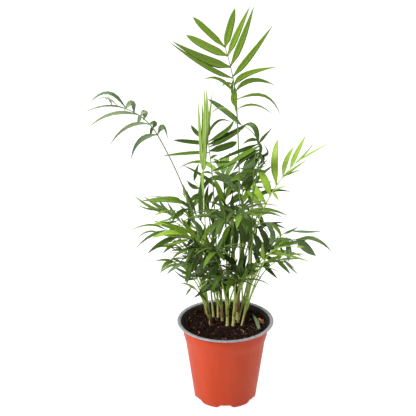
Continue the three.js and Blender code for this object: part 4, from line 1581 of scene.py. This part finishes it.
def in_pot(rings, lowest):
    """Does the leaflet reach down into the pot or through its lip?"""
    sizes = bpy.context.scene.palm_pot
    over_lip, round_lip = sizes.height / MM + 1.5, sizes.rim_radius / MM + 0.8
    if lowest > over_lip:
        return False
    points = np.concatenate(rings)
    near = points[points[:, 2] < over_lip]
    return bool((np.hypot(near[:, 0], near[:, 1]) < round_lip).any())


def ruled_leaflet(frond, row, t):
    """A leaflet as the frond's habit gives it. The last pair is broader and blunter."""
    habit = HABIT[frond["habit"]]
    wave = [wobble(frond, row, t, k) for k in range(6)]
    last = t > 1 - 0.5 / habit["pairs"]
    grown = 0.62 + 0.38 * math.sin(math.pi * min(t + 0.2, 1)) + 0.06 * wave[1]
    return dict(
        row=row,
        t=t,
        angle=lerp(*habit["open"], t) + 9 * wave[0],
        length=habit["leaflet"] * grown,
        width=habit["width"] * (1.3 if last else lerp(0.85, 1, t)) * (1 + 0.08 * wave[3]),
        hang=habit["hang"] * (1 + 0.4 * wave[2]),
        sweep=0.12 + 0.1 * wave[4],
        twist=14 * wave[5],
        blunt=2.6 if last else 1.5,
    )


def marked_leaflets(frond):
    """The leaflets that have marks, each rooted where its rib passes nearest to its root's. A
    broad one has a blunter tip, where its row doesn't say how blunt it is."""
    places = np.linspace(0, 1, 81)
    length = frond["blade"]
    rib = np.array([mark_of(rib_frame(frond, frond["stalk"] + length * t)[0]) for t in places])
    leaflets = []
    for row in MARKED.get(frond["name"], ()):
        root, bend, tip, width = row[0:2], row[2:4], row[4:6], row[6]
        t = float(places[np.argmin(np.hypot(*(rib - root).T))])
        wave = wobble(frond, 1, t, width)
        leaflets.append(dict(
            row=1,
            t=t,
            bend=bend,
            tip=tip,
            width=width,
            blunt=row[7] if len(row) > 7 else lerp(1.3, 2.2, clamped((width - 4) / 6)),
            faces=1.1 + 0.5 * wave,
            twist=12 * wave,
        ))
    return leaflets


def frond_leaflets(frond):
    """A frond's marked leaflets and, where it has none or is to be filled, the rule's: the left
    row first, from the stalk to the tip, with the right row set on a little from it."""
    leaflets = marked_leaflets(frond)
    if leaflets and frond["name"] not in FILLED:
        return leaflets
    pairs = HABIT[frond["habit"]]["pairs"]
    for row in (-1, 1):
        for i in range(pairs):
            t = 1.0 if i == pairs - 1 else (i + (0.4 if row > 0 else 0)) / (pairs - 0.6)
            leaflets.append(ruled_leaflet(frond, row, t))
    return leaflets


# How a leaflet is nudged while it touches something: its angle, its hang and its length, or,
# where it is marked, how far its tip moves away along its sight.
PUSHES = (0, 5, -5, 10, -10, 16, -16, 24, -24, 34, -34)
NUDGES = ((0, 1, 1), (6, 1.2, 1), (-6, 0.8, 1), (12, 1.4, 0.95), (-12, 0.6, 0.95), (0, 1.8, 0.85),
          (-18, 0.4, 0.85), (16, 0.5, 0.75), (0, 0.2, 0.7))


def nudged(leaf):
    """The leaflet as it stands, and then nudged step by step."""
    if "tip" in leaf:
        return [{**leaf, "push": push} for push in PUSHES]
    return [
        {
            **leaf,
            "angle": leaf["angle"] + turn,
            "hang": leaf["hang"] * hang,
            "length": leaf["length"] * size,
        }
        for turn, hang, size in NUDGES
    ]


# The finishes that are dealt out to a frond's leaflets, by its habit or else by its tone, and
# the deeper ones of those that hang low inside the clump, in the others' shade.
TOP_FINISHES = {
    "dark": ("dark", "mid", "dusky", "mid", "dusky"),
    "mid": ("mid", "fresh", "fresh", "mid"),
    "bright": ("bright", "bright", "lime", "fresh"),
    "grey": ("grey", "grey", "dusky"),
    "crown": ("mid", "leafy", "fresh", "leafy"),
    "spear": ("pale", "bright", "pale"),
    "fan": ("dark", "mid", "dark", "shady"),
}
SHADED_FINISHES = {
    "dark": ("deep", "shady", "deep", "shady", "deep"),
    "mid": ("shady", "deep", "shady", "mid"),
    "bright": ("fresh", "bright", "bright"),
    "grey": ("grey", "dusky"),
}

# Where it is shady: below this height, and within this distance of the clump's middle, which
# is counted as less to the front and to the back.
SHADE = dict(top=305, radius=60, depth=0.55)


def dealt_finish(frond, leaf, middle):
    """A leaflet's finish: one of its frond's, or a deeper one where its middle is in the shade."""
    kind = frond["habit"] if frond["habit"] in TOP_FINISHES else frond["tone"]
    x, y, z = middle
    shaded = z < SHADE["top"] and math.hypot(x, SHADE["depth"] * y) < SHADE["radius"]
    dealt = SHADED_FINISHES if shaded and kind in SHADED_FINISHES else TOP_FINISHES
    tones = dealt[kind]
    pick = wobble(frond, leaf["row"], leaf["t"], 9) * 0.5 + 0.5
    return tones[min(int(pick * len(tones)), len(tones) - 1)]


# How much the wax of a leaf's top shines: old leaves are dull, and the dusky ones are waxy.
GLOSS = {"deep": 0.2, "shady": 0.24, "dark": 0.24, "dusky": 0.6, "grey": 0.5}


def leaf_colours():
    """Each leaf finish's name and colour, tops first and then undersides."""
    tones = bpy.context.scene.palm_colours
    tops = {
        # deep and shady are the old leaves' colour darkened, as painted shade; they are dealt mostly to the
        # leaflets inside the clump.
        "deep": shade(tones.leaf_dark, 0.54),
        "shady": shade(tones.leaf_dark, 0.76),
        "dark": tones.leaf_dark,
        # dusky greys the old leaves' colour: partly a waxy bloom, partly a painted greyish sheen.
        "dusky": blend(tones.leaf_dark, linear(0x556B48), 0.5),
        "mid": tones.leaf_mid,
        "leafy": blend(tones.leaf_mid, tones.leaf_bright, 0.22),
        "fresh": blend(tones.leaf_mid, tones.leaf_bright, 0.45),
        "bright": tones.leaf_bright,
        "lime": blend(tones.leaf_bright, linear(0x9CBB3C), 0.5),
        # grey is partly the leaves' greyish bloom, partly a painted greyish sheen.
        "grey": tones.leaf_grey,
        "pale": blend(tones.leaf_bright, linear(0xB0C684), 0.3),
        "straw": linear(0xA3935A),
    }
    under = {name: blend(colour, linear(0x74834E), 0.35) for name, colour in tops.items()}
    return tops, under


# Dry tips: which leaflets are pointed enough for one, how rare they are, from -1 to 1, and
# the station they start at.
DRY = dict(blunt=1.8, rare=0.85, start=8)


def is_dry(frond, leaf):
    """Few of the pointed leaflets have a dry tip."""
    return leaf["blunt"] < DRY["blunt"] and wobble(frond, leaf["row"], leaf["t"], 4) > DRY["rare"]


def add_leaflet(batch, rings, finish, finishes, dry):
    """Adds a leaflet with its top and its underside apart, and its tip straw where it is dry."""
    points, faces = loft(rings)
    tip = DRY["start"] * SECTION
    kinds = []
    for k, face in enumerate(faces[:-2]):
        side = "top_" if face[0] % SECTION < SECTION / 2 else "under_"
        kinds.append(finishes.index(side + ("straw" if dry and k >= tip else finish)))
    kinds += [kinds[0]] * 2
    batch.add(points, faces, kinds, LEAF_PLACES)


def first_clear(frond, leaf, limbs, neighbours):
    """The leaflet's rings, tree and box at its first place that is clear, or nothing."""
    for tried in nudged(leaf):
        rings = leaflet_rings(frond, tried)
        shape = leaf_tree(rings)
        lowest = shape[1][2]
        if not (in_pot(rings, lowest) or meets(*shape, limbs) or meets(*shape, neighbours)):
            return rings, shape
    return None


class PALM_OT_leaflets(bpy.types.Operator):
    """Grow the leaflets of every frond, each clear of the limbs and of its neighbours"""

    bl_idname = "palm.leaflets"
    bl_label = "Leaflets"

    def execute(self, context):
        fronds = all_fronds()
        canes, ribs = limb_trees(fronds)
        # The marked fronds come first, so that the others give way to them.
        order = sorted(fronds, key=lambda frond: frond["name"] not in MARKED)
        tops, under = leaf_colours()
        finishes = [f"top_{name}" for name in tops] + [f"under_{name}" for name in under]
        batches = {tone: Batch() for tone in SHADED_FINISHES}
        placed = []
        for frond in order:
            limbs = canes + [rib for name, rib in ribs.items() if name != frond["name"]]
            mine = []
            for leaf in frond_leaflets(frond):
                clear = first_clear(frond, leaf, limbs, placed + mine)
                if clear:
                    rings, shape = clear
                    mine.append(shape)
                    finish = dealt_finish(frond, leaf, rings[len(rings) // 2][2])
                    dry = is_dry(frond, leaf)
                    add_leaflet(batches[frond["tone"]], rings, finish, finishes, dry)
            placed += mine
        skins = [
            leaf_skin(f"leaf_top_{name}", colour, 0.36, gloss=GLOSS.get(name, 0.3))
            for name, colour in tops.items()
        ]
        skins += [leaf_skin(f"leaf_underside_{n}", c, 0.55, 0.05) for n, c in under.items()]
        for tone, batch in batches.items():
            nodes = [f"frond_{f['name']}" for f in fronds if f["tone"] == tone]
            hand_in(batch.piece(f"leaflets_{tone}", skins), f"leaf_{tone}", *nodes)
        return {"FINISHED"}


# ---------------------------------------------------------------- stage


# The floor's radius and what the lights aim at, in metres, and how brightly the floor and the
# air shine.
STAGE = dict(floor=6, aim=(0, 0, 0.22), glow=0.86, air=0.36)

# Each light's place and width in metres, and its power in watts.
SOFTBOXES = (
    ("key_softbox", (-1.8, -1.1, 1.6), 1.1, 84),
    ("fill_softbox", (2.0, -0.3, 1.0), 1.3, 8),
    ("top_softbox", (0.1, 0.4, 2.1), 1.4, 44),
)


class PALM_OT_stage(bpy.types.Operator):
    """Lay the pale floor, hang the soft lights and set up the camera"""

    bl_idname = "palm.stage"
    bl_label = "Stage"

    def execute(self, context):
        begin()
        bpy.ops.mesh.primitive_circle_add(vertices=96, radius=STAGE["floor"], fill_type="NGON")
        floor = context.object
        floor.name = "studio_floor"
        material, tree, shader = new_finish(
            "matt_white_paper_floor",
            0.9,
            Emission_Color=(1, 1, 1, 1),
            Emission_Strength=STAGE["glow"],
        )
        mottled(tree, shader, linear(0x8C8C8C), linear(0x949494), 3)
        floor.data.materials.append(material)

        world = bpy.data.worlds.new("studio_air")
        world.use_nodes = True
        sky = world.node_tree.nodes["Background"]
        sky.inputs["Color"].default_value = (1, 1, 1, 1)
        sky.inputs["Strength"].default_value = STAGE["air"]
        context.scene.world = world

        aim = Vector(STAGE["aim"])
        for name, place, size, power in SOFTBOXES:
            lamp = bpy.data.lights.new(name, "AREA")
            lamp.size, lamp.energy = size, power
            made = bpy.data.objects.new(name, lamp)
            made.location = place
            made.rotation_euler = (aim - made.location).to_track_quat("-Z", "Y").to_euler()
            context.scene.collection.objects.link(made)

        lens = bpy.data.cameras.new("view")
        lens.sensor_width = 36
        lens.lens = FOCAL * lens.sensor_width / (2 * MIDDLE)
        lens.clip_end = 20
        view = bpy.data.objects.new("view", lens)
        view.location = [side * MM for side in EYE]
        view.rotation_euler = (math.radians(90 - LOOKS_DOWN), 0, 0)
        context.scene.collection.objects.link(view)
        context.scene.camera = view
        context.scene.view_settings.view_transform = "Standard"
        return {"FINISHED"}


# ---------------------------------------------------------------- panel and main

GROUPS = {
    "palm_pot": PALM_PG_pot,
    "palm_compost": PALM_PG_compost,
    "palm_leaf": PALM_PG_leaf,
    "palm_colours": PALM_PG_colours,
}
OPERATORS = (
    PALM_OT_pot,
    PALM_OT_compost,
    PALM_OT_canes,
    PALM_OT_sheaths,
    PALM_OT_stalks,
    PALM_OT_leaflets,
    PALM_OT_stage,
)


class PALM_PT_panel(bpy.types.Panel):
    """The palm's pieces, with their sizes and colours"""

    bl_idname = "PALM_PT_panel"
    bl_label = "Potted parlour palm"
    bl_space_type = "VIEW_3D"
    bl_region_type = "UI"
    bl_category = "Palm"

    def draw(self, context):
        for operator in OPERATORS:
            self.layout.operator(operator.bl_idname)
        for name, group in GROUPS.items():
            box = self.layout.box()
            for key in group.__annotations__:
                box.prop(getattr(context.scene, name), key)


def register():
    for cls in (*GROUPS.values(), *OPERATORS, PALM_PT_panel):
        bpy.utils.register_class(cls)
    for name, group in GROUPS.items():
        setattr(bpy.types.Scene, name, PointerProperty(type=group))


def unregister():
    for name in GROUPS:
        delattr(bpy.types.Scene, name)
    for cls in reversed((*GROUPS.values(), *OPERATORS, PALM_PT_panel)):
        bpy.utils.unregister_class(cls)


def main():
    register()
    bpy.ops.palm.pot()
    bpy.ops.palm.compost()
    bpy.ops.palm.canes()
    bpy.ops.palm.sheaths()
    bpy.ops.palm.stalks()
    bpy.ops.palm.leaflets()
    bpy.ops.palm.stage()


if __name__ == "__main__":
    main()
